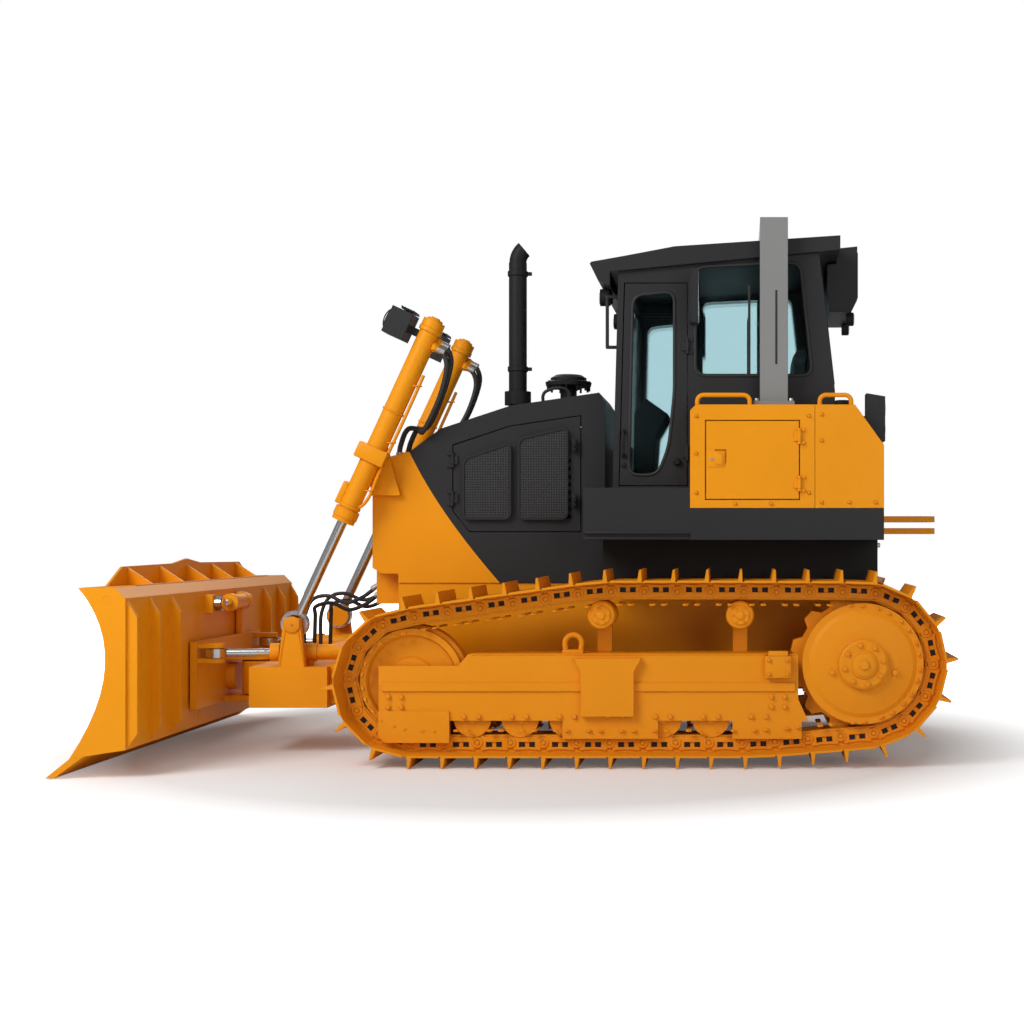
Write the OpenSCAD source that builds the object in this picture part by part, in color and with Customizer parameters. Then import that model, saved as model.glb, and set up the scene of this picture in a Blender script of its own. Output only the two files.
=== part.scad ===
// Crawler bulldozer with an angling and tilting blade.
// Millimetres, +Z up, front towards -X, left side towards -Y.
// The origin is on the ground, midway between cutting edge and rear bracket.

/* [Overall] */
// Length from the cutting edge to the end of the rear bracket
overall_len = 5300; // [5280:5:5400]

/* [Tracks] */
// Distance between the centre planes of the two tracks
track_gauge = 2000; // [1980:5:2060]
// Width of a track shoe
shoe_w = 560; // [500:10:580]
// Distance from one chain pin to the next, before it is fitted to the loop
shoe_pitch = 200; // [185:1:215]
// Thickness of a shoe plate
shoe_t = 14; // [10:1:18]
// Height of the lug on a shoe
lug_h = 65; // [45:1:75]
// Height of a chain link from its rail to the shoe
link_h = 105; // [95:1:115]
// Depth of the chain pins under the rail of a link
pin_depth = 47; // [40:1:52]
// Thickness of one row of chain links
link_t = 40; // [30:1:44]
// Centre distance of the two rows of links
link_gauge = 170; // [160:1:176]
// Distance from idler to sprocket
track_base = 2745; // [2700:5:2780]
// Rail radius of the idler
idler_r = 330; // [310:1:340]
// Rail radius of the sprocket
sprocket_r = 384; // [370:1:390]
// Height of the sprocket above the line of the bottom rollers
sprocket_lift = 52; // [40:1:60]
// Number of teeth on a sprocket
sprocket_teeth = 13; // [11:1:15]
// Radius of a carrier roller
carrier_r = 95; // [85:1:100]
// Height of the rail over the carrier rollers
carrier_rail_z = 1008; // [1004:1:1016]
// Distances from the sprocket forward to the two carrier rollers
carrier_back = [745, 1588]; // [700:5:1650]
// Radius of a bottom roller
roller_r = 100; // [90:1:105]
// Number of bottom rollers on a track
roller_count = 7; // [5:1:7]
// Distance from the idler to the first bottom roller
roller_start = 373; // [365:1:400]
// Distance from the last bottom roller to the sprocket
roller_end = 632; // [600:1:650]

/* [Track frames] */
// Width of a track frame between its side plates
frame_w = 260; // [254:1:280]
// Thickness of a side plate
frame_plate = 22; // [16:1:26]
// Height of the lower edge of the side plates
frame_low_z = 274; // [265:1:285]
// Height of the upper edge of the side plates
frame_top_z = 677; // [660:1:690]
// Reach of the side plates in front of the idler shaft
fork_reach = 190; // [150:5:220]

/* [Hull] */
// Half width of the hull between the push arms
hull_half = 430; // [400:1:440]
// Height of the belly above the ground
belly_z = 400; // [380:5:420]
// Height of the top of the hull
hull_top_z = 1090; // [1080:2:1110]
// Distance from the sprocket to the rear face of the hull
hull_back = 190; // [150:5:220]
// Length of the hull
hull_len = 3160; // [3100:5:3200]

/* [Engine enclosure] */
// Half width of the radiator guard and hood
hood_half = 440; // [430:1:450]
// Distance from the cutting edge to the front of the radiator guard
guard_front = 1587; // [1570:1:1610]
// Height of the top of the radiator guard
guard_top_z = 1905; // [1880:5:1930]
// Length of the hood along its foot
hood_len = 1270; // [1240:5:1275]
// Height of the hood at its rear end
hood_rear_z = 2330; // [2300:5:2360]
// Thickness of the enclosure sheet
sheet_t = 12; // [8:1:16]

/* [Cab] */
// Width of the cab
cab_w = 1560; // [1520:5:1580]
// Length of the cab at its floor
cab_len = 1404; // [1380:2:1420]
// Distance from the rear bracket end to the rear of the cab
cab_back = 722; // [715:1:760]
// Height of the cab floor
cab_floor_z = 1580; // [1570:1:1590]
// Height of the wall tops at the front
cab_front_z = 3060; // [3020:5:3080]
// Height of the wall tops at the rear
cab_rear_z = 3180; // [3140:5:3200]
// Thickness of the cab walls
cab_wall = 60; // [45:1:70]
// Thickness of the roof
roof_t = 90; // [70:1:100]
// Thickness of a window pane
pane_t = 8; // [6:1:10]
// Width of a door
door_w = 400; // [380:2:404]

/* [Fenders and boxes] */
// Distance from the centre plane to the outer face of the side boxes
box_half = 1050; // [1030:5:1070]
// Height of the underside of the fenders
fender_z = 1370; // [1350:5:1390]
// Height of the top of the fender sills
sill_z = 1566; // [1550:2:1575]
// Height of the top of the side boxes
box_top_z = 2200; // [2150:5:2240]
// Length of a side box
box_len = 1188; // [1150:2:1200]
// Length of the step in front of a side box
step_len = 655; // [620:5:670]
// Height of the top of the step
step_z = 1690; // [1670:2:1696]

/* [Roll bar] */
// Width of a roll bar post along the machine
post_len = 173; // [150:1:190]
// Thickness of a roll bar post
post_t = 110; // [90:1:120]
// Height of the roll bar
post_top_z = 3372; // [3360:2:3400]

/* [Blade] */
// Width of the blade
blade_w = 3350; // [3300:10:3400]
// Height of the blade without its spill guard
blade_h = 1095; // [1060:5:1120]
// Reach of the cutting edge in front of the back plate
blade_depth = 460; // [450:2:480]
// Thickness of the cutting edge
edge_t = 25; // [20:1:32]
// Height of the spill guard
spill_h = 150; // [120:5:170]

/* [Push frame] */
// Distance from the cutting edge back to the push arm pins
arm_pin_back = 2750; // [2730:5:2770]
// Height of the push arm pins
arm_pin_z = 500; // [480:5:520]
// Radius of a push arm pin
arm_pin_r = 45; // [38:1:48]
// Lateral distance of the push arms' centre lines
arm_y = 535; // [530:1:540]
// Thickness of a push arm
arm_t = 120; // [100:1:124]
// Distance from the blade's back plate to the upright angle pin
nose_back = 270; // [260:2:290]
// Radius of the upright angle pin
nose_pin_r = 60; // [50:1:66]
// Height of the tilt pin
tilt_z = 450; // [430:2:470]

/* [Cylinders] */
// Lateral distance of the lift cylinders
lift_y = 560; // [555:1:575]
// Inclination of the lift cylinders from the vertical in degrees
lift_lean = 24.75; // [23:0.25:26]
// Distance from the guard's front back to the lift cylinder trunnions
lift_trunnion_back = 33; // [20:1:50]
// Height of the lift cylinder trunnions
lift_trunnion_z = 1918; // [1890:2:1930]
// Distance from trunnion to rod eye along the lift cylinder
lift_reach = 1198; // [1190:1:1204]
// Length of the lift barrel above and below its trunnion
lift_barrel = [470, 945]; // [450:1:960]
// Radius of a lift barrel
lift_barrel_r = 65; // [55:1:68]
// Radius of a lift rod
lift_rod_r = 32; // [26:1:38]
// Radius of the angle barrels and of the tilt barrel
angle_barrel_r = 50; // [42:1:54]
// Radius of the angle rods and of the tilt rod
angle_rod_r = 25; // [20:1:30]

/* [Hidden] */
$fn = 64;
paint = "#EE970B";
dark = "#2C2C2E";
grey = "#8E8E8A";
bright = "#C9CBCC";
clear_tint = "#7FA6AE";
// Clearance of running fits, and of pieces that only lie close
run_gap = 0.3;
close_gap = 6;
half_len = overall_len / 2;

// Undercarriage stations
track_y = track_gauge / 2;
rail_z = lug_h + shoe_t + link_h;
track_out_r = link_h + shoe_t + lug_h;
rear_margin = 7;
sprocket_x = half_len - rear_margin - sprocket_r - track_out_r;
idler_x = sprocket_x - track_base;
idler_z = rail_z + idler_r;
sprocket_z = rail_z + sprocket_r + sprocket_lift;
roller_z = rail_z + roller_r;
roller_x0 = idler_x + roller_start;
roller_x1 = sprocket_x - roller_end;
roller_step = (roller_x1 - roller_x0) / (roller_count - 1);
carrier_z = carrier_rail_z - carrier_r;
plate_in = frame_w / 2;
plate_out = plate_in + frame_plate;

// Extrudes an outline drawn in X and Z from y0 to y1
module side_plate(y0, y1) {
  translate([0, y1, 0]) rotate([90, 0, 0]) linear_extrude(y1 - y0) children();
}
// Box between two opposite corners
module block(low, high) {
  translate(low) cube(high - low);
}
// Round bar along Y
module bar_y(x, z, r, y0, y1) {
  translate([x, y0, z]) rotate([-90, 0, 0]) cylinder(r = r, h = y1 - y0);
}
// Round bar along Z
module bar_z(x, y, r, z0, z1) {
  translate([x, y, z0]) cylinder(r = r, h = z1 - z0);
}
// Round bar along X
module bar_x(y, z, r, x0, x1) {
  translate([x0, y, z]) rotate([0, 90, 0]) cylinder(r = r, h = x1 - x0);
}
// Draws a right-hand piece on the side asked for: 1 right, -1 left
module on_side(side) {
  if (side > 0) children();
  else mirror([0, 1, 0]) children();
}

// The chain's pin line runs as a belt round these wheels: [x, z, radius]
belt = [
  [idler_x, idler_z, idler_r + pin_depth],
  [roller_x1, roller_z, roller_r + pin_depth],
  [sprocket_x, sprocket_z, sprocket_r + pin_depth],
  [sprocket_x - carrier_back[0], carrier_z, carrier_r + pin_depth],
  [sprocket_x - carrier_back[1], carrier_z, carrier_r + pin_depth]
];
belt_n = len(belt);
function wheel(i) = belt[(i + belt_n) % belt_n];
function centre(w) = [w[0], w[1]];
// Outward normal of the straight run from wheel i to the next one
function run_normal(i) =
  let (a = wheel(i), b = wheel(i + 1), v = centre(b) - centre(a), dist = norm(v), d = v / dist,
       s = (a[2] - b[2]) / dist)
  sqrt(1 - s * s) * [d[1], -d[0]] + s * d;
function run_start(i) = centre(wheel(i)) + wheel(i)[2] * run_normal(i);
function run_end(i) = centre(wheel(i + 1)) + wheel(i + 1)[2] * run_normal(i);
function run_len(i) = norm(run_end(i) - run_start(i));
function heading(v) = atan2(v[1], v[0]);
function turn(i) = (heading(run_normal(i)) - heading(run_normal(i - 1)) + 810) % 360 - 90;
function wrap_len(i) = turn(i) * PI / 180 * wheel(i)[2];
// Straight runs and wraps in turn, each as a length
function piece_len(k) = k % 2 == 0 ? run_len(k / 2) : wrap_len((k + 1) / 2);
function loop_len(k = 0) = k == 2 * belt_n ? 0 : piece_len(k) + loop_len(k + 1);
// Point on the pin line at a distance along it
function loop_at(s, k = 0) =
  k < 2 * belt_n - 1 && s > piece_len(k) ? loop_at(s - piece_len(k), k + 1) :
  k % 2 == 0 ? run_start(k / 2) + (run_end(k / 2) - run_start(k / 2)) * s / run_len(k / 2) :
  let (w = wheel((k + 1) / 2), a = heading(run_normal((k - 1) / 2)) + s / w[2] * 180 / PI)
  centre(w) + w[2] * [cos(a), sin(a)];
track_len = loop_len();
shoe_count = round(track_len / shoe_pitch);
pins = [for (i = [0 : shoe_count - 1]) loop_at(i * track_len / shoe_count)];
// Point beside link i: u from the middle of the link, v outwards from its pins
function link_point(i, u, v) =
  let (a = pins[i], b = pins[(i + 1) % shoe_count], t = (b - a) / norm(b - a))
  (a + b) / 2 + u * t + v * [t[1], -t[0]];
function link_half(i) = norm(pins[(i + 1) % shoe_count] - pins[i]) / 2;
// A loop round the track with the same [end, offset, height] points on every link
function loop_outline(marks) = [for (i = [0 : shoe_count - 1], m = marks)
  link_point(i, m[0] * link_half(i) + m[1], m[2])];

shoe_gap = 5;
shoe_seat = link_h - pin_depth;
shoe_face = shoe_seat + shoe_t;
lug_tip = shoe_face + lug_h;
lug_top_t = 12;
lug_lean = 4;
lug_foot_t = 28;
notch_v = shoe_face - shoe_t * 0.6;
link_end = 16;
link_sink = 4;

// A closed ring across the track between two loops, from y0 to y1
module loop_ring(outer, inner, y0, y1) {
  difference() {
    side_plate(y0, y1) polygon(outer);
    side_plate(y0 - 1, y1 + 1) polygon(inner);
  }
}

// Track loop: shoes with single lugs on two rows of links
module track(side) {
  shoes = loop_outline([[-1, shoe_gap, notch_v], [-1, shoe_gap + lug_lean, lug_tip],
    [-1, shoe_gap + lug_lean + lug_top_t, lug_tip], [-1, shoe_gap + lug_foot_t, shoe_face],
    [1, -shoe_gap, shoe_face], [1, -shoe_gap, notch_v]]);
  seats = loop_outline([[-1, shoe_gap, shoe_seat], [1, -shoe_gap, shoe_seat]]);
  backs = loop_outline([[-1, link_end, shoe_seat + link_sink], [1, -link_end, shoe_seat + link_sink]]);
  rails = loop_outline([[-1, link_end, -pin_depth], [1, -link_end, -pin_depth]]);
  color(paint) on_side(side) {
    loop_ring(shoes, seats, track_y - shoe_w / 2, track_y + shoe_w / 2);
    for (y = [-link_gauge / 2, link_gauge / 2])
      loop_ring(backs, rails, track_y + y - link_t / 2, track_y + y + link_t / 2);
  }
}

// Depth that a straight link dips below the rail line where the loop turns over wheel i
function link_dip(i) = shoe_pitch / 2 * sin(turn(i) / 2) + 1;
// The rim lies inside the chords that the links make over a wheel
function rim_r(r) = (r + pin_depth) * cos(shoe_pitch / (r + pin_depth) * 90 / PI) - pin_depth - 1;
idler_rim_r = rim_r(idler_r);
idler_shaft_r = 45;
shaft_end = plate_in - 0.02;
rail_half = link_gauge / 2 + link_t / 2;
flange_half = link_gauge / 2 - link_t / 2 - close_gap;
flange_h = 22;

// Idler: a dished wheel with a centre flange, on its shaft
module idler() {
  color(paint) translate([idler_x, track_y, idler_z]) rotate([90, 0, 0])
    rotate_extrude() polygon([[0, -shaft_end], [idler_shaft_r, -shaft_end], [idler_shaft_r, -rail_half],
      [idler_rim_r * 0.42, -rail_half], [idler_rim_r * 0.46, -rail_half * 0.7],
      [idler_rim_r * 0.84, -rail_half * 0.7], [idler_rim_r * 0.88, -rail_half],
      [idler_rim_r, -rail_half], [idler_rim_r, -flange_half], [idler_rim_r + flange_h, -flange_half + 8],
      [idler_rim_r + flange_h, flange_half - 8], [idler_rim_r, flange_half], [idler_rim_r, rail_half],
      [idler_rim_r * 0.88, rail_half], [idler_rim_r * 0.84, rail_half * 0.7],
      [idler_rim_r * 0.46, rail_half * 0.7], [idler_rim_r * 0.42, rail_half],
      [idler_shaft_r, rail_half], [idler_shaft_r, shaft_end], [0, shaft_end]]);
}

sprocket_rim_r = rim_r(sprocket_r);
tooth_half = link_gauge / 2 - link_t / 2 - close_gap - 12;
tooth_tip_r = sprocket_r + pin_depth + 8;
tooth_root_r = sprocket_r + pin_depth - 40;
drive_case_r = 250;
drive_cover_out = 215;
hub_r = 150;
// Sprocket with its teeth, the dished cover and hub of the final drive, and its housing
module final_drive() {
  tooth_step = 360 / sprocket_teeth;
  color(paint) {
    translate([sprocket_x, track_y, sprocket_z]) {
      rotate([-90, 0, 0]) translate([0, 0, -tooth_half]) linear_extrude(2 * tooth_half)
        polygon([for (i = [0 : sprocket_teeth - 1], m = [[-0.34, 0], [-0.16, 1], [0.16, 1], [0.34, 0]])
          let (r = tooth_root_r + m[1] * (tooth_tip_r - tooth_root_r), a = (i + m[0]) * tooth_step)
          r * [cos(a), sin(a)]]);
      rotate([-90, 0, 0]) rotate_extrude() polygon([[0, 0], [sprocket_rim_r - 30, 0],
        [sprocket_rim_r - 30, rail_half + 20], [sprocket_rim_r - 4, rail_half + 34],
        [sprocket_rim_r - 4, rail_half + 52], [sprocket_rim_r - 44, rail_half + 52],
        [sprocket_rim_r - 70, rail_half + 66], [hub_r + 60, drive_cover_out - 24],
        [hub_r, drive_cover_out - 18], [hub_r, drive_cover_out + 14], [hub_r - 14, drive_cover_out + 24],
        [hub_r - 62, drive_cover_out + 24], [hub_r - 70, drive_cover_out + 36], [0, drive_cover_out + 36]]);
    }
    bar_y(sprocket_x, sprocket_z, drive_case_r, hull_half, track_y + 1);
  }
}

roller_flange = 14;
// Row of flanged bottom rollers on their shafts
module bottom_rollers() {
  shaft_r = 32;
  tread = rail_half + 2;
  tread_r = roller_r - link_dip(1);
  color(paint) for (i = [0 : roller_count - 1])
    translate([roller_x0 + i * roller_step, track_y, roller_z]) rotate([-90, 0, 0]) rotate_extrude()
      polygon([[0, -shaft_end], [shaft_r, -shaft_end], [shaft_r, -tread - 12], [roller_r + roller_flange, -tread - 12],
        [roller_r + roller_flange, -tread], [tread_r, -tread], [tread_r, tread],
        [roller_r + roller_flange, tread], [roller_r + roller_flange, tread + 12], [shaft_r, tread + 12],
        [shaft_r, shaft_end], [0, shaft_end]]);
}

carrier_post_w = 90;
// Carrier rollers, each with its cap, on a post that stands on the track frame
module carrier_rollers() {
  post_y = track_y - rail_half - 34;
  tread_r = carrier_r - max(link_dip(3), link_dip(4));
  color(paint) for (back = carrier_back) {
    x = sprocket_x - back;
    translate([x, track_y, carrier_z]) rotate([-90, 0, 0]) rotate_extrude()
      polygon([[0, -rail_half - 20], [40, -rail_half - 20], [40, -rail_half - 4], [tread_r, -rail_half - 4],
        [tread_r, rail_half + 4], [carrier_r - 14, rail_half + 30], [carrier_r - 22, rail_half + 36],
        [0, rail_half + 36]]);
    bar_y(x, carrier_z, 70, post_y - 22, post_y + 22);
    block([x - carrier_post_w / 2, post_y - 22, frame_top_z], [x + carrier_post_w / 2, post_y + 22, carrier_z]);
  }
}

frame_rear_x = sprocket_x - sprocket_r - 8;
tooth_room = 60;
frame_body_x = idler_x + idler_r + 24;
fork_top_z = idler_z + 92;
fork_low_z = rail_z - pin_depth + 4;
// Track frame: a closed beam between two side plates that fork round the idler
module track_frame(side) {
  fork_x = idler_x - fork_reach;
  step_x = idler_x + idler_r - 40;
  guard_z = rail_z - 20;
  fork_box = [fork_x, idler_x + 240];
  color(paint) on_side(side) translate([0, track_y, 0]) {
    block([frame_body_x, -plate_in, roller_z + roller_r + roller_flange + close_gap],
      [frame_rear_x - tooth_room, plate_in, frame_top_z]);
    for (s = [-1, 1]) on_side(s) {
      side_plate(plate_in - 0.01, plate_out) polygon([[fork_x, frame_low_z], [frame_rear_x + 60, frame_low_z],
        [frame_rear_x, frame_low_z + 130], [frame_rear_x, frame_top_z], [step_x + 60, frame_top_z],
        [step_x, fork_top_z], [fork_x, fork_top_z]]);
      side_plate(plate_in - 0.01, plate_out + 14) polygon([[fork_box[0], fork_low_z + 40], [fork_box[0] + 40, fork_low_z],
        [fork_box[1], fork_low_z], [fork_box[1], frame_low_z + 60], [fork_box[0], frame_low_z + 60]]);
      for (g = [[roller_x0 + 1.9 * roller_step, roller_x0 + 3.9 * roller_step],
          [roller_x1 - 0.55 * roller_step, roller_x1 + 0.9 * roller_step]])
        side_plate(plate_in - 0.01, plate_out) polygon([[g[0], guard_z], [g[1], guard_z], [g[1], frame_low_z + 40],
          [g[0], frame_low_z + 40]]);
    }
    side_plate(plate_out - 0.01, plate_out + 12) polygon([[fork_x + 18, idler_z - 60], [frame_rear_x - 20, idler_z - 60],
      [frame_rear_x - 20, idler_z - 10], [fork_x + 18, idler_z - 10]]);
    side_plate(plate_out - 0.01, plate_out + 45) polygon([[roller_x0 + 2.3 * roller_step, frame_low_z + 30],
      [roller_x0 + 3.4 * roller_step, frame_low_z + 30], [roller_x0 + 3.4 * roller_step, frame_top_z - 100],
      [roller_x0 + 3.55 * roller_step, frame_top_z - 22], [roller_x0 + 2.15 * roller_step, frame_top_z - 22],
      [roller_x0 + 2.3 * roller_step, frame_top_z - 100]]);
  }
}

// Push arm pins, on the hull
arm_pin_x = -half_len + arm_pin_back;
arm_in = arm_y - arm_t / 2;
arm_out = arm_y + arm_t / 2;

hull_rear_x = sprocket_x + hull_back;
hull_front_x = hull_rear_x - hull_len;
hull_nose = 260;
// Hull: the welded main frame with the belly guard and the push arm pins
module hull_body() {
  cap_t = 16;
  color(paint) {
    side_plate(-hull_half, hull_half) polygon([[hull_front_x, hull_top_z], [hull_front_x, belly_z + hull_nose],
      [hull_front_x + hull_nose, belly_z], [hull_rear_x - 160, belly_z], [hull_rear_x, belly_z + 120],
      [hull_rear_x, hull_top_z]]);
    for (s = [-1, 1]) on_side(s) {
      bar_y(arm_pin_x, arm_pin_z, arm_pin_r + 40, hull_half - 1, arm_in - run_gap);
      bar_y(arm_pin_x, arm_pin_z, arm_pin_r, hull_half, arm_out + cap_t);
      bar_y(arm_pin_x, arm_pin_z, arm_pin_r + 22, arm_out + run_gap, arm_out + cap_t);
    }
  }
}

equalizer_back = 300;
pivot_fore = 625;
// Equalizer bar and pivot shafts that carry the track frames on the hull
module cross_shafts() {
  reach = track_y - plate_out;
  x = arm_pin_x + equalizer_back;
  color(paint) for (s = [-1, 1]) on_side(s) {
    block([x - 70, hull_half, 470], [x + 70, reach, 620]);
    bar_y(sprocket_x - pivot_fore, 540, 85, hull_half, reach);
  }
}

guard_x = -half_len + guard_front;
guard_low_z = 950;
core_depth = 300;
wing_t = 30;
hood_rear_x = guard_x + hood_len + 245;
seam_top = [guard_x + 240, guard_top_z + 40];
seam_mid = [guard_x + 420, guard_top_z - 345];
seam_low = [guard_x + 830, hull_top_z];
seam_steps = 10;
// Curved seam between the radiator guard and the hood, from the top down
function seam(t) = (1 - t) * (1 - t) * seam_top + 2 * t * (1 - t) * seam_mid + t * t * seam_low;
seam_line = [for (i = [0 : seam_steps]) seam(i / seam_steps)];
function flip(list) = [for (i = [len(list) - 1 : -1 : 0]) list[i]];

skirt_half = 320;
skirt_z = 1150;
guard_chamfer = [60, 40];
grille_half = hood_half - 80;
grille_z = [skirt_z + 60, guard_top_z - 130];
grille_depth = 60;
// Radiator guard with a deep opening at the front, a narrow skirt and the brackets of the lift cylinders
module radiator_guard() {
  t = lift_trunnion;
  color(paint) difference() {
    union() {
      side_plate(-hood_half, hood_half) polygon(concat([[guard_x, skirt_z + guard_chamfer[1]],
        [guard_x + guard_chamfer[0], skirt_z], [hull_front_x, skirt_z], [hull_front_x, hull_top_z]], flip(seam_line), [[guard_x + 80, guard_top_z], [guard_x, guard_top_z - 60]]));
      block([guard_x, -skirt_half, guard_low_z], [hull_front_x, skirt_half, skirt_z + guard_chamfer[1]]);
      for (s = [-1, 1]) on_side(s) side_plate(hood_half - 1, trunnion_in - run_gap) polygon([[guard_x + 2, t[1] - 260],
        [guard_x + 190, t[1] - 260], [t[0] + 65, t[1] + 68], [t[0] - 62, t[1] + 68]]);
    }
    block([guard_x - 1, -grille_half, grille_z[0]], [guard_x + grille_depth, grille_half, grille_z[1]]);
    block([guard_x + core_depth, -hood_half + wing_t, hull_top_z - 1],
      [hood_rear_x, hood_half - wing_t, guard_top_z + 1]);
    for (s = [-1, 1]) on_side(s) bar_y(t[0], t[1], trunnion_r + run_gap, hood_half, trunnion_in + 1);
  }
}

grille_slots = 14;
// Slotted plate in front of the radiator
module radiator_grille() {
  slot_step = (grille_z[1] - grille_z[0] - 60) / grille_slots;
  color(dark) difference() {
    block([guard_x + 18, -grille_half, grille_z[0]], [guard_x + grille_depth, grille_half, grille_z[1]]);
    for (i = [0 : grille_slots - 1], s = [-1, 1])
      block([guard_x, s < 0 ? -grille_half + 40 : 25, grille_z[0] + 40 + i * slot_step],
        [guard_x + 46, s < 0 ? -25 : grille_half - 40, grille_z[0] + 40 + (i + 0.55) * slot_step]);
  }
}

// Points of the hood's roof line, front to rear
hood_line = [seam_top, [guard_x + 443, guard_top_z + 190], [guard_x + 898, hood_rear_z - 85],
  [hood_rear_x - 40, hood_rear_z]];
// Height of the hood's roof over x
function hood_z(x) = lookup(x, [for (p = hood_line) p]);
engine_top_z = 1960;
stack_x = guard_x + 900;
stack_r = 60;
stack_y = -110;
cleaner_x = guard_x + 1243;
cleaner_y = -130;
cleaner_stem_r = 55;
door_x = [guard_x + 520, guard_x + 1360];
door_low_z = 1420;
door_drop = 130;
// Outline of the side opening in the hood, shrunk by a gap
function engine_door_outline(gap) = [[door_x[0] + gap, door_low_z + 140], [door_x[0] + 110, door_low_z + gap],
  [door_x[1] - gap, door_low_z + gap], [door_x[1] - gap, hood_z(door_x[1]) - door_drop - gap],
  [hood_line[2][0], hood_line[2][1] - door_drop - gap], [door_x[0] + gap, hood_z(door_x[0]) - door_drop - gap]];

hinge_r = 12;
hinge_pin_r = 6;
hinge_end = 18;
hinge_leaf = 34;
hinge_len = 60;
// Fixed half of a hinge: pin and end knuckles. The axis is Z, the wall face is hinge_r behind it.
module hinge_pin() {
  cylinder(r = hinge_pin_r, h = hinge_len);
  for (z = [-hinge_end, hinge_len + 1]) {
    translate([0, 0, z]) cylinder(r = hinge_r, h = hinge_end - 1);
    block([-hinge_leaf, -hinge_r, z], [0, 0, z + hinge_end - 1]);
  }
}
// Moving half of a hinge: sleeve and leaf
module hinge_sleeve() {
  difference() {
    union() {
      cylinder(r = hinge_r, h = hinge_len);
      block([0, -hinge_r, 0], [hinge_leaf, 0, hinge_len]);
    }
    translate([0, 0, -1]) cylinder(r = hinge_pin_r + run_gap, h = hinge_len + 2);
  }
}

engine_hinge = [door_x[0] + close_gap / 2, hood_half + hinge_r];
engine_hinge_z = [door_low_z + 190, door_low_z + 440];
// Hood: sheet over the engine, open below and at its side doors
module hood() {
  roof_slope = (hood_line[1][1] - seam_top[1]) / (hood_line[1][0] - seam_top[0]);
  outer = concat(flip(seam_line), [for (i = [1 : len(hood_line) - 1]) hood_line[i]],
    [[hood_rear_x, hood_rear_z - 60], [hood_rear_x, hull_top_z]]);
  inner = concat([seam_low + [-40, -1]], [for (p = flip(seam_line)) p + [-40, p == seam_top ? -40 * roof_slope - 1.3 * sheet_t : -sheet_t]],
    [for (i = [1 : len(hood_line) - 1]) hood_line[i] + [-6, -sheet_t]],
    [[hood_rear_x - sheet_t, hood_rear_z - 60 - sheet_t], [hood_rear_x - sheet_t, hull_top_z - 1]]);
  color(dark) {
    difference() {
      side_plate(-hood_half, hood_half) polygon(outer);
      side_plate(-hood_half + sheet_t, hood_half - sheet_t) polygon(inner);
      side_plate(-hood_half - 1, hood_half + 1) polygon(engine_door_outline(0));
      bar_z(stack_x, stack_y, stack_r + 12, engine_top_z, hood_rear_z + 10);
      bar_z(cleaner_x, cleaner_y, cleaner_stem_r + 8, engine_top_z, hood_rear_z + 10);
    }
    for (s = [-1, 1], z = engine_hinge_z) on_side(s) translate([engine_hinge[0], engine_hinge[1], z]) hinge_pin();
  }
}

// Side door of the engine, with slots for air
module engine_door(side) {
  vent_x = [[door_x[0] + 150, door_x[0] + 370], [door_x[0] + 440, door_x[1] - 70]];
  vent_step = 52;
  color(dark) on_side(side) {
    difference() {
      side_plate(hood_half - sheet_t, hood_half) polygon(engine_door_outline(close_gap));
      for (v = vent_x, z = [door_low_z + 90 : vent_step : door_low_z + 500])
        block([v[0], hood_half - sheet_t - 1, z], [v[1], hood_half + 1, z + vent_step * 0.45]);
    }
    for (z = engine_hinge_z) translate([engine_hinge[0], engine_hinge[1], z]) hinge_sleeve();
  }
}

// Engine: one plain block with its rocker cover, on the hull
module engine() {
  x0 = door_x[0] + 60;
  x1 = hood_rear_x - 110;
  color(grey) {
    block([x0, -270, hull_top_z], [x1, 270, engine_top_z - 180]);
    block([x0 + 60, -190, engine_top_z - 181], [x1 - 40, 190, engine_top_z]);
  }
}

stack_top_z = 3230;
stack_bend_r = 120;
stack_bend = 50;
pipe_t = 6;
elbow_step = 3;
stack_collar_lift = 30;
stack_collar_t = 28;
stack_collar_h = 90;
// Bent end of the stack as a solid bar of radius r, from the angle a0 to a1 around the bend
module stack_elbow(r, a0, a1) {
  translate([stack_bend_r, 0, stack_top_z]) rotate([90, 0, 0]) rotate([0, 0, 180 - a1])
    rotate_extrude(angle = a1 - a0) translate([stack_bend_r, 0]) circle(r = r);
}
// Exhaust stack: a pipe from the engine with a collar and a bent end
module exhaust_stack() {
  bore = stack_r - elbow_step - pipe_t;
  color(dark) translate([stack_x, stack_y, 0]) difference() {
    union() {
      translate([0, 0, engine_top_z]) cylinder(r = stack_r, h = stack_top_z - engine_top_z);
      translate([0, 0, hood_z(stack_x) + stack_collar_lift])
        cylinder(r = stack_r + stack_collar_t, h = stack_collar_h);
      stack_elbow(stack_r - elbow_step, -5, stack_bend);
    }
    translate([0, 0, engine_top_z + 200]) cylinder(r = bore, h = stack_top_z - engine_top_z - 202);
    stack_elbow(bore - 1, -8, stack_bend + 4);
  }
}

// Air pre-cleaner: a ribbed cap on its stem
module precleaner() {
  base = hood_rear_z + 40;
  color(dark) translate([cleaner_x, cleaner_y, 0]) {
    rotate_extrude() polygon([[0, engine_top_z], [cleaner_stem_r, engine_top_z], [cleaner_stem_r, base],
      [95, base + 18], [150, base + 30], [155, base + 55], [120, base + 68], [120, base + 84], [88, base + 104],
      [0, base + 112]]);
  }
}

cab_half = cab_w / 2;
cab_rear_x = half_len - cab_back;
cab_front_x = cab_rear_x - cab_len;
front_lean = 40;
rear_lean = 100;
waist_z = cab_floor_z + 730;
corner_r = 70;
function unit(v) = v / norm(v);
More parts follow.
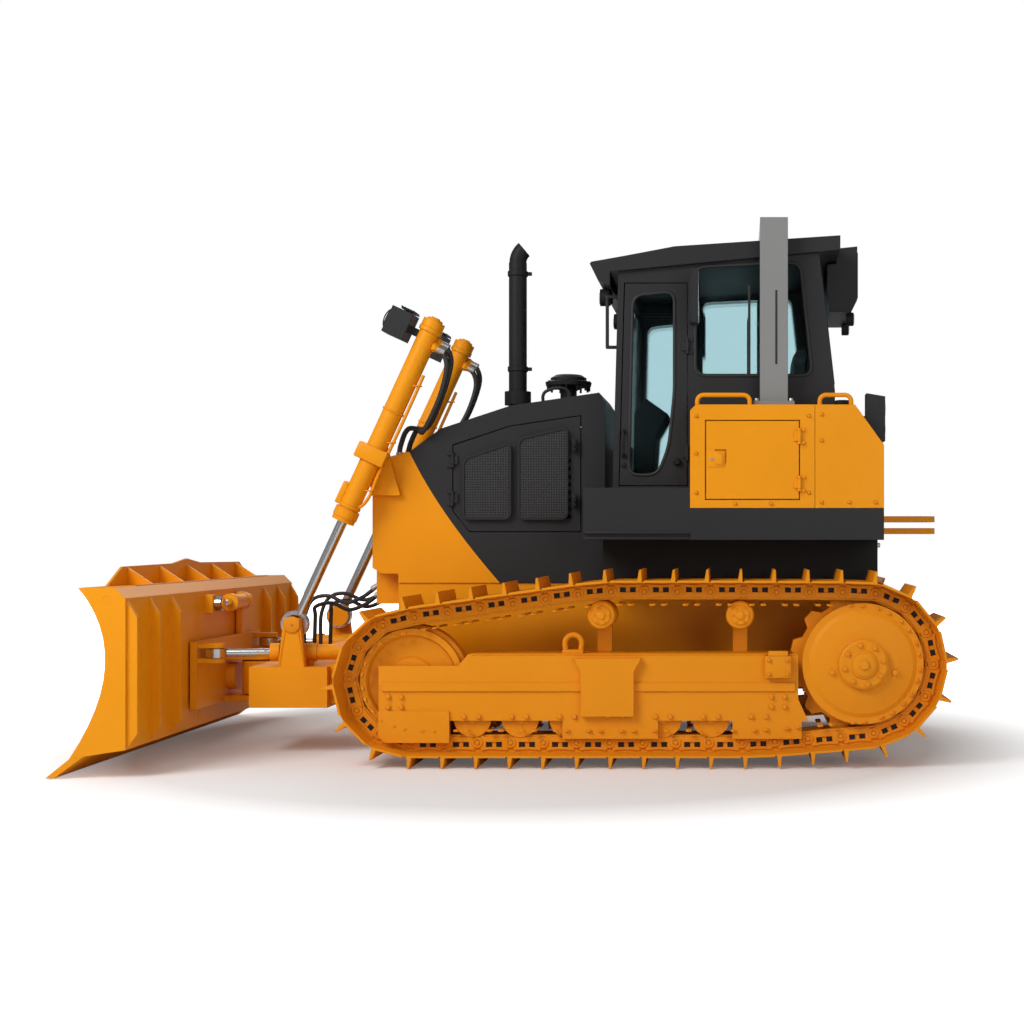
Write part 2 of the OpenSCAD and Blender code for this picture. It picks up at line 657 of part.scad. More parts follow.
// Outline with every corner rounded off
function soft(pts, r, n = 4) = [for (i = [0 : len(pts) - 1]) let (p = pts[i],
  a = p + r * unit(pts[(i + len(pts) - 1) % len(pts)] - p), b = p + r * unit(pts[(i + 1) % len(pts)] - p))
  for (k = [0 : n]) let (t = k / n) (1 - t) * (1 - t) * a + 2 * t * (1 - t) * p + t * t * b];
// Height of the wall tops over x
cab_wall_top = [[cab_front_x + front_lean, cab_front_z], [cab_rear_x - rear_lean, cab_rear_z]];
function wall_top(x) = cab_wall_top[0][1] + (x - cab_wall_top[0][0])
  * (cab_wall_top[1][1] - cab_wall_top[0][1]) / (cab_wall_top[1][0] - cab_wall_top[0][0]);
// Front and rear faces of the cab over z, moved inwards by a depth
function front_face(z, depth = 0) = cab_front_x + depth
  + front_lean * (z - cab_floor_z) / (cab_front_z - cab_floor_z);
function rear_face(z, depth = 0) = cab_rear_x - depth
  - rear_lean * max(0, z - waist_z) / (cab_rear_z - waist_z);

door_sill_z = cab_floor_z + 128;
door_top_z = cab_front_z - 70;
door_front = 38;
door_rear_x = cab_front_x + door_front + front_lean + door_w;
// Outline of a cab door, shrunk by a gap
function door_outline(gap) = [[front_face(door_sill_z, door_front) + gap, door_sill_z + gap],
  [door_rear_x - gap, door_sill_z + gap], [door_rear_x - gap, door_top_z - gap],
  [front_face(door_top_z, door_front) + gap, door_top_z - gap]];
// Outlines of the panes in the door and in the side walls
door_pane = soft([[front_face(door_sill_z, door_front) + 62, door_sill_z + 70], [door_rear_x - 190, door_sill_z + 70],
  [door_rear_x - 120, door_sill_z + 250], [door_rear_x - 84, door_sill_z + 600], [door_rear_x - 84, door_top_z - 52],
  [front_face(door_top_z, door_front) + 54, door_top_z - 80]], corner_r);
side_pane_x = door_rear_x + 45;
side_pane_z = [waist_z + 95, cab_front_z + 30];
side_pane = soft([[side_pane_x, side_pane_z[0]], [rear_face(side_pane_z[0]) - 130, side_pane_z[0]],
  [rear_face(side_pane_z[1]) - 130, side_pane_z[1] + 30], [side_pane_x, side_pane_z[1]]], corner_r);
front_pane_z = [cab_floor_z + 420, cab_front_z - 90];
front_pane_half = cab_half - 130;
rear_pane_z = [waist_z + 60, cab_rear_z - 130];
rear_pane_half = cab_half - 190;
hinge_x = door_rear_x - close_gap / 2;
door_hinge_z = [door_sill_z + 180, door_top_z - 430];

// Cab walls and floor, with openings for the doors and windows
module cab_shell() {
  outer = [[cab_front_x, cab_floor_z], cab_wall_top[0], cab_wall_top[1], [cab_rear_x, waist_z], [cab_rear_x, cab_floor_z]];
  over = cab_rear_z + 100;
  inner = [[front_face(cab_floor_z, cab_wall), cab_floor_z + cab_wall], [front_face(over, cab_wall), over],
    [rear_face(over, cab_wall), over], [rear_face(waist_z, cab_wall), waist_z],
    [cab_rear_x - cab_wall, cab_floor_z + cab_wall]];
  color(dark) {
    difference() {
      side_plate(-cab_half, cab_half) polygon(outer);
      side_plate(-cab_half + cab_wall, cab_half - cab_wall) polygon(inner);
      for (s = [-1, 1]) on_side(s) side_plate(cab_half - cab_wall - 1, cab_half + 1) {
        polygon(door_outline(0));
        polygon(side_pane);
      }
      block([cab_front_x - 10, -front_pane_half, front_pane_z[0]],
        [front_face(over, cab_wall) + 10, front_pane_half, front_pane_z[1]]);
      block([rear_face(over, cab_wall) - 10, -rear_pane_half, rear_pane_z[0]],
        [cab_rear_x + 10, rear_pane_half, rear_pane_z[1]]);
    }
    for (s = [-1, 1], z = door_hinge_z) on_side(s)
      translate([hinge_x, cab_half + hinge_r, z]) mirror([1, 0, 0]) hinge_pin();
  }
}

// A pane along a leaning face, given as a function value at its two heights
module leaning_pane(x, z, half) {
  side_plate(-half, half) polygon([[x[0], z[0]], [x[0] + pane_t, z[0]], [x[1] + pane_t, z[1]], [x[1], z[1]]]);
}
// Fixed panes of the cab
module cab_glass() {
  mid = cab_wall / 2;
  color(clear_tint) {
    leaning_pane([for (z = front_pane_z) front_face(z, mid)], front_pane_z, front_pane_half);
    leaning_pane([for (z = rear_pane_z) rear_face(z, mid)], rear_pane_z, rear_pane_half);
    for (s = [-1, 1]) on_side(s) side_plate(cab_half - mid - pane_t, cab_half - mid) polygon(side_pane);
  }
}

// Cab door without its pane
module cab_door(side) {
  color(dark) on_side(side) {
    difference() {
      side_plate(cab_half - cab_wall, cab_half) polygon(door_outline(close_gap));
      side_plate(cab_half - cab_wall - 1, cab_half + 1) polygon(door_pane);
    }
    for (z = door_hinge_z) translate([hinge_x, cab_half + hinge_r, z]) mirror([1, 0, 0]) hinge_sleeve();
  }
}
// Pane of a cab door
module door_glass(side) {
  mid = cab_wall / 2;
  color(clear_tint) on_side(side) side_plate(cab_half - mid - pane_t, cab_half - mid) polygon(door_pane);
}

visor_reach = 138;
roof_rear_x = cab_rear_x + 32;
roof_over = 30;
// Roof with the sun visor in front
module cab_roof() {
  front = cab_front_x - visor_reach;
  color(dark) side_plate(-cab_half - roof_over, cab_half + roof_over) polygon([[front, wall_top(front) + 62],
    [front + 50, wall_top(front) - 40], [cab_front_x - 12, wall_top(cab_front_x) - 90],
    [cab_front_x - 12, wall_top(cab_front_x - 12) + run_gap], [roof_rear_x, wall_top(roof_rear_x) + run_gap],
    [roof_rear_x, wall_top(roof_rear_x) + roof_t], [cab_front_x + 397, wall_top(cab_front_x + 397) + roof_t + 30],
    [cab_front_x + 60, wall_top(cab_front_x) + roof_t + 4], [front + 10, wall_top(front) + 74]]);
}

unit_half = 380;
// Cooling unit behind the roof
module rear_unit() {
  top = wall_top(roof_rear_x);
  color(dark) side_plate(-unit_half, unit_half) polygon([[roof_rear_x, top + roof_t - 4], [roof_rear_x + 138, top + roof_t + 10],
    [roof_rear_x + 138, top - 250], [roof_rear_x + 96, top - 330], [roof_rear_x - 44, top - 330],
    [roof_rear_x - 60, top - 200], [roof_rear_x - 60, top - 20], [roof_rear_x, top - 12]]);
}

seat_x = cab_front_x + 770;
seat_half = 250;
seat_floor_z = cab_floor_z + cab_wall;
// Seat frame: pedestal, pan and back shell
module seat_frame() {
  color(dark) {
    block([seat_x, -180, seat_floor_z], [seat_x + 380, 180, seat_floor_z + 300]);
    block([seat_x - 60, -seat_half, seat_floor_z + 299], [seat_x + 450, seat_half, seat_floor_z + 340]);
    side_plate(-seat_half, seat_half) polygon([[seat_x + 420, seat_floor_z + 320], [seat_x + 452, seat_floor_z + 320],
      [seat_x + 520, seat_floor_z + 960], [seat_x + 488, seat_floor_z + 960]]);
  }
}
// Seat cushion and back cushion
module seat_pads() {
  color("#3A3A3C") {
    side_plate(-seat_half + 10, seat_half - 10) polygon(soft([[seat_x - 70, seat_floor_z + 340.3],
      [seat_x + 330, seat_floor_z + 340.3], [seat_x + 330, seat_floor_z + 440], [seat_x - 70, seat_floor_z + 450]], 40));
    side_plate(-seat_half + 10, seat_half - 10) polygon(soft([[seat_x + 340, seat_floor_z + 420],
      [seat_x + 430.3, seat_floor_z + 420], [seat_x + 492.8, seat_floor_z + 1010], [seat_x + 400, seat_floor_z + 1010]], 40));
  }
}

// Dashboard and two side consoles with their levers
module controls() {
  dash_x = cab_front_x + cab_wall + 40;
  color(dark) {
    side_plate(-320, 320) polygon([[dash_x, seat_floor_z], [dash_x + 120, seat_floor_z], [dash_x + 150, seat_floor_z + 420],
      [dash_x + 230, seat_floor_z + 560], [dash_x + 90, seat_floor_z + 660], [dash_x + 10, seat_floor_z + 560]]);
    for (s = [-1, 1]) {
      block([seat_x - 20, s * 400 - 90, seat_floor_z], [seat_x + 420, s * 400 + 90, seat_floor_z + 500]);
      translate([seat_x + 40, s * 400, seat_floor_z + 499]) {
        cylinder(r = 14, h = 160);
        translate([0, 0, 150]) rotate_extrude() polygon([[0, 0], [22, 0], [30, 40], [28, 80], [0, 96]]);
      }
    }
  }
}

post_x = half_len - 1196;
post_in = cab_half + 40;
post_foot_t = 30;
post_foot_out = 40;
beam_h = 105;
// Roll bar: two posts on foot plates, joined by a beam over the roof
module roll_bar() {
  color(grey) {
    for (s = [-1, 1]) on_side(s) {
      block([post_x, post_in, box_top_z], [post_x + post_len, post_in + post_t, post_top_z]);
      block([post_x - post_foot_out, post_in - 20, box_top_z], [post_x + post_len + post_foot_out,
        post_in + post_t + 40, box_top_z + post_foot_t]);
    }
    block([post_x, -post_in - 1, post_top_z - beam_h], [post_x + post_len, post_in + 1, post_top_z]);
  }
}

base_half = 600;
box_rear_x = half_len - 438;
box_x = box_rear_x - box_len;
// Base under the cab, on the hull
module cab_base() {
  color(dark) block([hood_rear_x, -base_half, hull_top_z], [box_rear_x, base_half, cab_floor_z]);
}

step_x = box_x - step_len;
step_in = cab_half + 8;
sill_lip = 14;
// Fender over a track, with the step in front of the side box
module fender(side) {
  color(dark) on_side(side) {
    block([step_x, base_half, fender_z], [box_rear_x, box_half - sill_lip, sill_z]);
    block([step_x, step_in, sill_z - 1], [box_x, box_half - sill_lip, step_z]);
    block([step_x, box_half - sill_lip - 1, fender_z + 40], [box_x, box_half, step_z]);
    block([box_x, box_half - sill_lip - 1, fender_z], [box_rear_x, box_half, sill_z]);
  }
}

box_in = cab_half + 20;
seam_x = box_x + 766;
box_wall = 20;
locker_x = [box_x + 92, box_x + 673];
locker_z = [sill_z + 49, box_top_z - 95];
locker_hinge_x = locker_x[1] - close_gap / 2;
locker_hinge_z = [locker_z[0] + 70, locker_z[1] - 130];
box_bevel = 36;
function locker_outline(gap) = [[locker_x[0] + gap, locker_z[0] + gap], [locker_x[1] - gap, locker_z[0] + gap],
  [locker_x[1] - gap, locker_z[1] - gap], [locker_x[0] + gap, locker_z[1] - gap]];
// Side box on the fender. A hollow one has a door opening in its outer wall.
module side_box(side, hollow) {
  outline = [[box_x, sill_z], [seam_x - 2, sill_z], [seam_x - 2, box_top_z], [box_x + box_bevel, box_top_z],
    [box_x, box_top_z - box_bevel]];
  color(paint) on_side(side) {
    difference() {
      side_plate(box_in, box_half) polygon(outline);
      if (hollow) {
        block([box_x + box_wall, box_in + box_wall, sill_z + box_wall],
          [seam_x - 2 - box_wall, box_half - box_wall, box_top_z - box_wall - box_bevel]);
        side_plate(box_half - box_wall - 1, box_half + 1) polygon(locker_outline(0));
      }
    }
    if (hollow) for (z = locker_hinge_z) translate([locker_hinge_x, box_half + hinge_r, z]) mirror([1, 0, 0]) hinge_pin();
    else bar_z((box_x + seam_x) / 2 - 250, (box_in + box_half) / 2, 60, box_top_z - 1, box_top_z + 45);
  }
}

latch_size = [70, 84];
// Door of the hollow side box, with a recessed latch
module locker_door(side) {
  latch_x = locker_x[0] + 60;
  latch_z = (locker_z[0] + locker_z[1]) / 2 - 20;
  color(paint) on_side(side) {
    difference() {
      side_plate(box_half - box_wall, box_half) polygon(locker_outline(close_gap));
      block([latch_x, box_half - 12, latch_z], [latch_x + latch_size[0], box_half + 1, latch_z + latch_size[1]]);
    }
    block([latch_x + 22, box_half - 13, latch_z + 12], [latch_x + 46, box_half - 2, latch_z + latch_size[1] - 12]);
    for (z = locker_hinge_z) translate([locker_hinge_x, box_half + hinge_r, z]) mirror([1, 0, 0]) hinge_sleeve();
  }
}

tank_slope = [[box_rear_x, sill_z + 386], [box_rear_x - 178, box_top_z]];
// Rear tank across the machine, with wings that meet the side boxes
module rear_tank() {
  tank_x = cab_rear_x + 14;
  color(paint) {
    side_plate(-box_half, box_half) polygon([[tank_x, sill_z + 20], [box_rear_x, sill_z + 20], tank_slope[0], tank_slope[1],
      [tank_x, box_top_z]]);
    for (s = [-1, 1]) on_side(s) {
      block([seam_x, box_in, sill_z], [tank_x + 1, box_half, box_top_z]);
      block([tank_x, box_in, sill_z], [box_rear_x, box_half, sill_z + 21]);
    }
  }
}

rail_r = 14;
rail_h = 62;
// A handrail loop along X with round corners, standing on a flat top
module rail_loop(x0, x1, y, z) {
  bend = 40;
  for (x = [x0, x1]) bar_z(x, y, rail_r, z, z + rail_h - bend);
  bar_x(y, z + rail_h, rail_r, x0 + bend, x1 - bend);
  for (e = [[x0 + bend, 90], [x1 - bend, 0]])
    translate([e[0], y, z + rail_h - bend]) rotate([90, 0, 0]) rotate([0, 0, e[1]])
      rotate_extrude(angle = 90) translate([bend, 0]) circle(r = rail_r);
}
// Handrails on the side boxes and on the rear tank
module handrails() {
  color(paint) for (s = [-1, 1]) on_side(s) {
    rail_loop(box_x + 43, box_x + 366, box_half - 45, box_top_z);
    rail_loop(seam_x + 30, tank_slope[1][0] - 20, box_half - 45, box_top_z);
  }
}

mirror_arm_r = 9;
// Outside mirrors on their arms
module mirrors() {
  arm_x = door_rear_x + 24;
  arm_z = [cab_front_z - 330, cab_front_z - 40];
  head = [cab_half + 60, cab_half + 230];
  color(dark) for (s = [-1, 1]) on_side(s) {
    for (z = arm_z) bar_y(arm_x, z, mirror_arm_r, cab_half, head[0] + 60);
    bar_z(arm_x, head[0] + 50, mirror_arm_r, arm_z[0] - 5, arm_z[1] + 5);
    side_plate(head[0] + 44, head[1]) polygon(soft([[arm_x + 6, arm_z[0] - 20], [arm_x + 46, arm_z[0] - 20],
      [arm_x + 46, arm_z[1] + 20], [arm_x + 6, arm_z[1] + 20]], 12));
  }
}

grab_r = 11;
// Grab handles on the front corners of the cab
module grab_handles() {
  z = [cab_floor_z + 1010, cab_floor_z + 1330];
  reach = 62;
  y = cab_half - 60;
  color(dark) for (s = [-1, 1]) on_side(s) {
    bar_z(front_face(z[0]) - reach, y, grab_r, z[0], z[1]);
    for (h = z) bar_x(y, h, grab_r, front_face(h) - reach, front_face(h) - 2 * run_gap);
    for (h = z) translate([front_face(z[0]) - reach, y, h]) sphere(r = grab_r);
  }
}

// Mirrors and grab handles of the cab
module cab_fittings() {
  mirrors();
  grab_handles();
}

lamp_half = 70;
// Rear work lamps on the slope of the tank
module rear_lamps() {
  slope = (tank_slope[1] - tank_slope[0]) / norm(tank_slope[1] - tank_slope[0]);
  foot = tank_slope[0] + 36 * slope;
  heel = foot + 122 * slope;
  y = box_half - 260;
  color(dark) for (s = [-1, 1]) on_side(s)
    side_plate(y - lamp_half, y + lamp_half) polygon([foot, foot + [46, 6], foot + [46, 286], [heel[0], foot[1] + 306], heel]);
}

bracket_half = 110;
bracket_z = [fender_z + 40, fender_z + 120];
bracket_t = 40;
bracket_bore_r = 26;
bracket_bore_back = 80;
// Rear bracket: a foot plate and two plates bored for one upright pin
module rear_bracket() {
  x = half_len - bracket_half;
  color(paint) difference() {
    union() {
      block([box_rear_x, -260, bracket_z[0] - 110], [box_rear_x + 30, 260, bracket_z[1] + bracket_t + 40]);
      for (z = bracket_z) {
        block([box_rear_x + 29, -bracket_half, z], [x, bracket_half, z + bracket_t]);
        bar_z(x, 0, bracket_half, z, z + bracket_t);
      }
    }
    bar_z(half_len - bracket_bore_back, 0, bracket_bore_r, bracket_z[0] - 1, bracket_z[1] + bracket_t + 1);
  }
}

blade_back_x = -half_len + blade_depth;
blade_half = blade_w / 2;
nose_x = blade_back_x + nose_back;
edge_clear = 4;
blade_top = [blade_back_x - 270, blade_h];
blade_low = [blade_back_x - 323, 115];
blade_belly = [blade_back_x + 60, blade_h * 0.63];
blade_steps = 12;
heel_z = 165;
// Front curve of the blade from the top down
function blade_curve(t) = (1 - t) * (1 - t) * blade_top + 2 * t * (1 - t) * blade_belly + t * t * blade_low;
blade_front = [for (i = [0 : blade_steps]) blade_curve(i / blade_steps)];
tilt_pin_r = 90;
carrier_x = [blade_back_x + 15, blade_back_x + 55];
tilt_cyl_x = blade_back_x + 85;
tilt_cyl_z = tilt_z + 500;
tilt_reach = 600;
tilt_y = tilt_reach / 2;
tilt_eye_r = 48;
tilt_eye_t = 40;

rib_room = 295;
// Blade: curved plate on a boxed back, with ribs, the tilt pin and the lug of the tilt cylinder
module moldboard() {
  rib_t = 30;
  rib_out = blade_half - 20;
  rib_in = carrier_half + rib_room;
  rib_y = [rib_out, (rib_out + rib_in) / 2, rib_in];
  color(paint) {
    side_plate(-blade_half, blade_half) polygon(concat(blade_front, [[blade_back_x, heel_z], [blade_back_x, blade_h - 60],
      [blade_back_x - 60, blade_h]]));
    for (s = [-1, 1], y = rib_y) on_side(s) side_plate(y - rib_t, y) polygon([[blade_back_x - 1, heel_z + 10],
      [blade_back_x + 60, heel_z + 90], [blade_back_x + 60, blade_h - 170], [blade_back_x - 1, blade_h - 70]]);
    bar_x(0, tilt_z, tilt_pin_r, blade_back_x - 1, blade_back_x + 115);
    block([blade_back_x - 1, -tilt_y - 50, tilt_cyl_z - 60], [tilt_cyl_x - angle_rod_r - 2, -tilt_y + 50, tilt_cyl_z + 60]);
    bar_x(-tilt_y, tilt_cyl_z, 20, blade_back_x, tilt_cyl_x + tilt_eye_t / 2 + 12);
    bar_x(-tilt_y, tilt_cyl_z, 36, tilt_cyl_x + tilt_eye_t / 2 + 3, tilt_cyl_x + tilt_eye_t / 2 + 12);
  }
}

end_bit_w = 420;
// Cutting edge: two end bits and two middle lengths, bolted under the blade
module cutting_edge() {
  slope = (heel_z - blade_low[1]) / (blade_back_x - blade_low[0]);
  seat = 80;
  cuts = [-blade_half, -blade_half + end_bit_w, 0, blade_half - end_bit_w, blade_half];
  color(paint) for (i = [0 : 3])
    side_plate(cuts[i] + (i > 0 ? 2 : 0), cuts[i + 1] - (i < 3 ? 2 : 0))
      polygon([[-half_len, edge_clear], [-half_len + 2 * edge_t, edge_clear],
        [blade_low[0] + seat, blade_low[1] + seat * slope], blade_low]);
}

spill_t = 16;
// Spill guard: a plate on the blade's top edge with gussets behind it
module spill_guard() {
  lean = 70;
  foot = [blade_top[0] + 20, blade_h];
  profile = [[-blade_half + 330, 0], [blade_half - 330, 0], [blade_half - 560, spill_h * 0.75], [260, spill_h * 0.8],
    [0, spill_h], [-260, spill_h * 0.8], [-blade_half + 560, spill_h * 0.75]];
  color(paint) {
    translate([foot[0], 0, foot[1]]) rotate([90, 0, 90]) linear_extrude(spill_t) polygon(profile);
    for (y = [-blade_half + 640, -500, 0, 500, blade_half - 640]) side_plate(y - 10, y + 10)
      polygon([foot + [spill_t - 1, 0], foot + [lean + 110, 0], foot + [spill_t - 1, spill_h * 0.72]]);
  }
}

front_box_x = [nose_x + 120, nose_x + 620];
front_box_z = [300, 575];
front_box_half = 660;
nose_z = [335, 555];
nose_r = 125;
lift_trunnion = [guard_x + lift_trunnion_back, lift_trunnion_z];
lift_dir = [sin(lift_lean), cos(lift_lean)];
lift_eye = lift_trunnion - lift_reach * lift_dir;
lift_pin_r = 30;
lift_eye_bore = 60;
lift_eye_r = 86;
lift_eye_half = 30;
lift_post_y = [lift_y + lift_eye_half + 8, lift_y + lift_eye_half + 58];
angle_trunnion = [nose_x + 470, 500];
angle_z = 645;
angle_stub_r = 25;
// Push frame: two arms, the front box, the nose for the upright pin, and the posts of the lift cylinders
module push_frame() {
  color(paint) difference() {
    union() {
      for (s = [-1, 1]) on_side(s) {
        side_plate(arm_in, arm_out) polygon([[front_box_x[1] - 1, front_box_z[0] + 20], [arm_pin_x - 200, arm_pin_z - 110],
          [arm_pin_x, arm_pin_z - arm_pin_r - 45], [arm_pin_x, arm_pin_z + arm_pin_r + 45], [arm_pin_x - 200, arm_pin_z + 75],
          [front_box_x[1] - 1, front_box_z[1]]]);
        bar_y(arm_pin_x, arm_pin_z, arm_pin_r + 45, arm_in, arm_out);
        side_plate(lift_post_y[0], lift_post_y[1]) polygon([[lift_eye[0] - 110, front_box_z[1] - 200],
          [lift_eye[0] + 110, front_box_z[1] - 200], [lift_eye[0] + 50, lift_eye[1] + 40], [lift_eye[0] - 50, lift_eye[1] + 40]]);
        bar_y(lift_eye[0], lift_eye[1], lift_pin_r, lift_y - lift_eye_half - 12, lift_post_y[0] + 1);
        bar_y(lift_eye[0], lift_eye[1], lift_eye_bore + 14, lift_y - lift_eye_half - 12, lift_y - lift_eye_half - 4);
      }
      block([front_box_x[0], -front_box_half, front_box_z[0]], [front_box_x[1], front_box_half, front_box_z[1] - 15]);
      block([nose_x, -nose_r, nose_z[0]], [front_box_x[0] + 1, nose_r, nose_z[1]]);
      bar_z(nose_x, 0, nose_r, nose_z[0], nose_z[1]);
    }
    bar_z(nose_x, 0, nose_pin_r + run_gap, nose_z[0] - 1, nose_z[1] + 1);
    for (s = [-1, 1]) on_side(s) {
      bar_y(arm_pin_x, arm_pin_z, arm_pin_r + run_gap, arm_in - 1, arm_out + 1);
      bar_z(angle_trunnion[0], angle_trunnion[1], angle_stub_r + run_gap, front_box_z[1] - 95, front_box_z[1] + 1);
    }
  }
}

fork_z = [[nose_z[0] - 50, nose_z[0] - 10], [nose_z[1] + 10, nose_z[1] + 50]];
fork_r = 110;
angle_lug = [carrier_x[1] + 100, 580];
carrier_half = angle_lug[1] + 80;
angle_pin_r = 22;
angle_eye_bore = 50;
angle_eye_r = 74;
angle_eye_half = 28;
ear_t = 30;
tower_y = [tilt_y - 38, tilt_y + 80];
// Blade carrier: cross plate behind the blade, fork on the upright pin, rod ears and the tilt tower
module blade_carrier() {
  half = carrier_half;
  color(paint) {
    difference() {
      union() {
        translate([carrier_x[0], 0, 0]) rotate([90, 0, 90]) linear_extrude(carrier_x[1] - carrier_x[0])
          polygon([[-half, fork_z[0][0]], [half, fork_z[0][0]], [half, angle_z + 75], [tower_y[1], angle_z + 75],
            [tower_y[1], tilt_cyl_z + 60], [tower_y[0], tilt_cyl_z + 60], [tower_y[0], angle_z + 75], [-half, angle_z + 75]]);
        for (z = fork_z) {
          block([carrier_x[1] - 1, -fork_r, z[0]], [nose_x, fork_r, z[1]]);
          bar_z(nose_x, 0, fork_r, z[0], z[1]);
        }
        for (s = [-1, 1], z = [angle_z - angle_eye_half - 4 - ear_t, angle_z + angle_eye_half + 4]) on_side(s) {
          block([carrier_x[1] - 1, angle_lug[1] - 55, z], [angle_lug[0], angle_lug[1] + 55, z + ear_t]);
          bar_z(angle_lug[0], angle_lug[1], 55, z, z + ear_t);
        }
      }
      bar_x(0, tilt_z, tilt_pin_r + run_gap, carrier_x[0] - 1, carrier_x[1] + 1);
    }
    bar_z(nose_x, 0, nose_pin_r, fork_z[0][0], fork_z[1][1]);
    for (s = [-1, 1]) on_side(s) bar_z(angle_lug[0], angle_lug[1], angle_pin_r, angle_z - angle_eye_half - 5, angle_z + angle_eye_half + 5);
    bar_x(tilt_y, tilt_cyl_z, 25, carrier_x[1] - 1, tilt_cyl_x + tilt_eye_t / 2 + 12);
    bar_x(tilt_y, tilt_cyl_z, 40, tilt_cyl_x + tilt_eye_t / 2 + 3, tilt_cyl_x + tilt_eye_t / 2 + 12);
  }
}

barrel_gland = 60;
barrel_cap = 30;
barrel_wall = 10;
piston_h = 60;
// Barrel along +Z from low to high, with a bore for the rod that opens at the low end
module barrel(r, rod_r, low, high) {
  difference() {
    union() {
      translate([0, 0, low]) cylinder(r = r, h = high - low);
      translate([0, 0, low]) cylinder(r = r + 9, h = 60);
      translate([0, 0, high - 50]) cylinder(r = r + 7, h = 50);
    }
    translate([0, 0, low - 1]) cylinder(r = rod_r + run_gap, h = barrel_gland + 2);
    translate([0, 0, low + barrel_gland]) cylinder(r = r - barrel_wall, h = high - low - barrel_gland - barrel_cap);
  }
}
// Rod from an eye at the origin up to its piston, with the eye's bore along Y
module rod(r, piston_r, length, eye_r, eye_bore, eye_half) {
  neck = (eye_r + eye_bore) / 2;
  difference() {
    union() {
      translate([0, 0, neck]) cylinder(r = r, h = length - neck);
      translate([0, 0, length - piston_h]) cylinder(r = piston_r, h = piston_h);
      rotate([90, 0, 0]) translate([0, 0, -eye_half]) cylinder(r = eye_r, h = 2 * eye_half);
    }
    rotate([90, 0, 0]) translate([0, 0, -eye_half - 1]) cylinder(r = eye_bore, h = 2 * eye_half + 2);
  }
}

lift_piston = 100;
trunnion_r = 25;
trunnion_in = hood_half + 46;
// Places its children on a right-hand lift cylinder, with +Z up along the barrel from the trunnion
module on_lift(side) {
  on_side(side) translate([lift_trunnion[0], lift_y, lift_trunnion[1]]) rotate([0, lift_lean, 0]) children();
}
module lift_barrel_piece(side) {
  color(paint) on_lift(side) difference() {
    union() {
      barrel(lift_barrel_r, lift_rod_r, -lift_barrel[0], lift_barrel[1]);
      translate([0, 0, -55]) cylinder(r = lift_barrel_r + 8, h = 110);
      rotate([90, 0, 0]) cylinder(r = 52, h = lift_y - trunnion_in);
      rotate([90, 0, 0]) cylinder(r = trunnion_r, h = lift_y - hood_half - 6);
    }
    translate([0, 0, -lift_barrel[0] + barrel_gland])
      cylinder(r = lift_barrel_r - barrel_wall, h = lift_barrel[0] + lift_barrel[1] - barrel_gland - barrel_cap);
  }
}
module lift_rod(side) {
  color(bright) on_lift(side) translate([0, 0, -lift_reach])
    rod(lift_rod_r, lift_barrel_r - barrel_wall - run_gap, lift_reach + lift_piston, lift_eye_r, lift_eye_bore, lift_eye_half);
}
// Work lamp on the head of a lift barrel
module lift_lamp(side) {
  color(dark) on_lift(side) translate([0, 0, lift_barrel[1] - 50]) {
    block([-lift_barrel_r - 57, -20, -90], [-lift_barrel_r - run_gap, 20, -40]);
    block([-lift_barrel_r - 200, -95, -150], [-lift_barrel_r - 56, 95, 30]);
  }
}

angle_barrel_span = [250, 390];
angle_rest = [angle_lug[0] - angle_trunnion[0], angle_lug[1] - angle_trunnion[1]];
angle_reach = norm(angle_rest);
// Length of an angle rod, with its piston midway in the bore at rest
angle_rod_len = angle_reach + (angle_barrel_span[1] - angle_barrel_span[0] + barrel_gland - barrel_cap + piston_h) / 2;
// Places its children on a right-hand angle cylinder, with +Z back along the barrel from the trunnion
module on_angle(side) {
  on_side(side) translate([angle_trunnion[0], angle_trunnion[1], angle_z])
    rotate([0, 0, atan2(-angle_rest[1], -angle_rest[0])]) rotate([0, 90, 0]) children();
}
module angle_barrel(side) {
  color(paint) on_angle(side) difference() {
    union() {
      barrel(angle_barrel_r, angle_rod_r, -angle_barrel_span[0], angle_barrel_span[1]);
      translate([0, 0, -45]) cylinder(r = angle_barrel_r + 6, h = 90);
      rotate([0, 90, 0]) cylinder(r = angle_stub_r, h = 150);
    }
    translate([0, 0, -angle_barrel_span[0] + barrel_gland]) cylinder(r = angle_barrel_r - barrel_wall,
      h = angle_barrel_span[0] + angle_barrel_span[1] - barrel_gland - barrel_cap);
  }
}
module angle_rod(side) {
  color(bright) on_angle(side) translate([0, 0, -angle_reach]) rotate([0, 0, 90])
    rod(angle_rod_r, angle_barrel_r - barrel_wall - run_gap, angle_rod_len, angle_eye_r, angle_eye_bore, angle_eye_half);
}

tilt_barrel_low = 45;
tilt_rod_bore = 29;
tilt_barrel_len = 400;
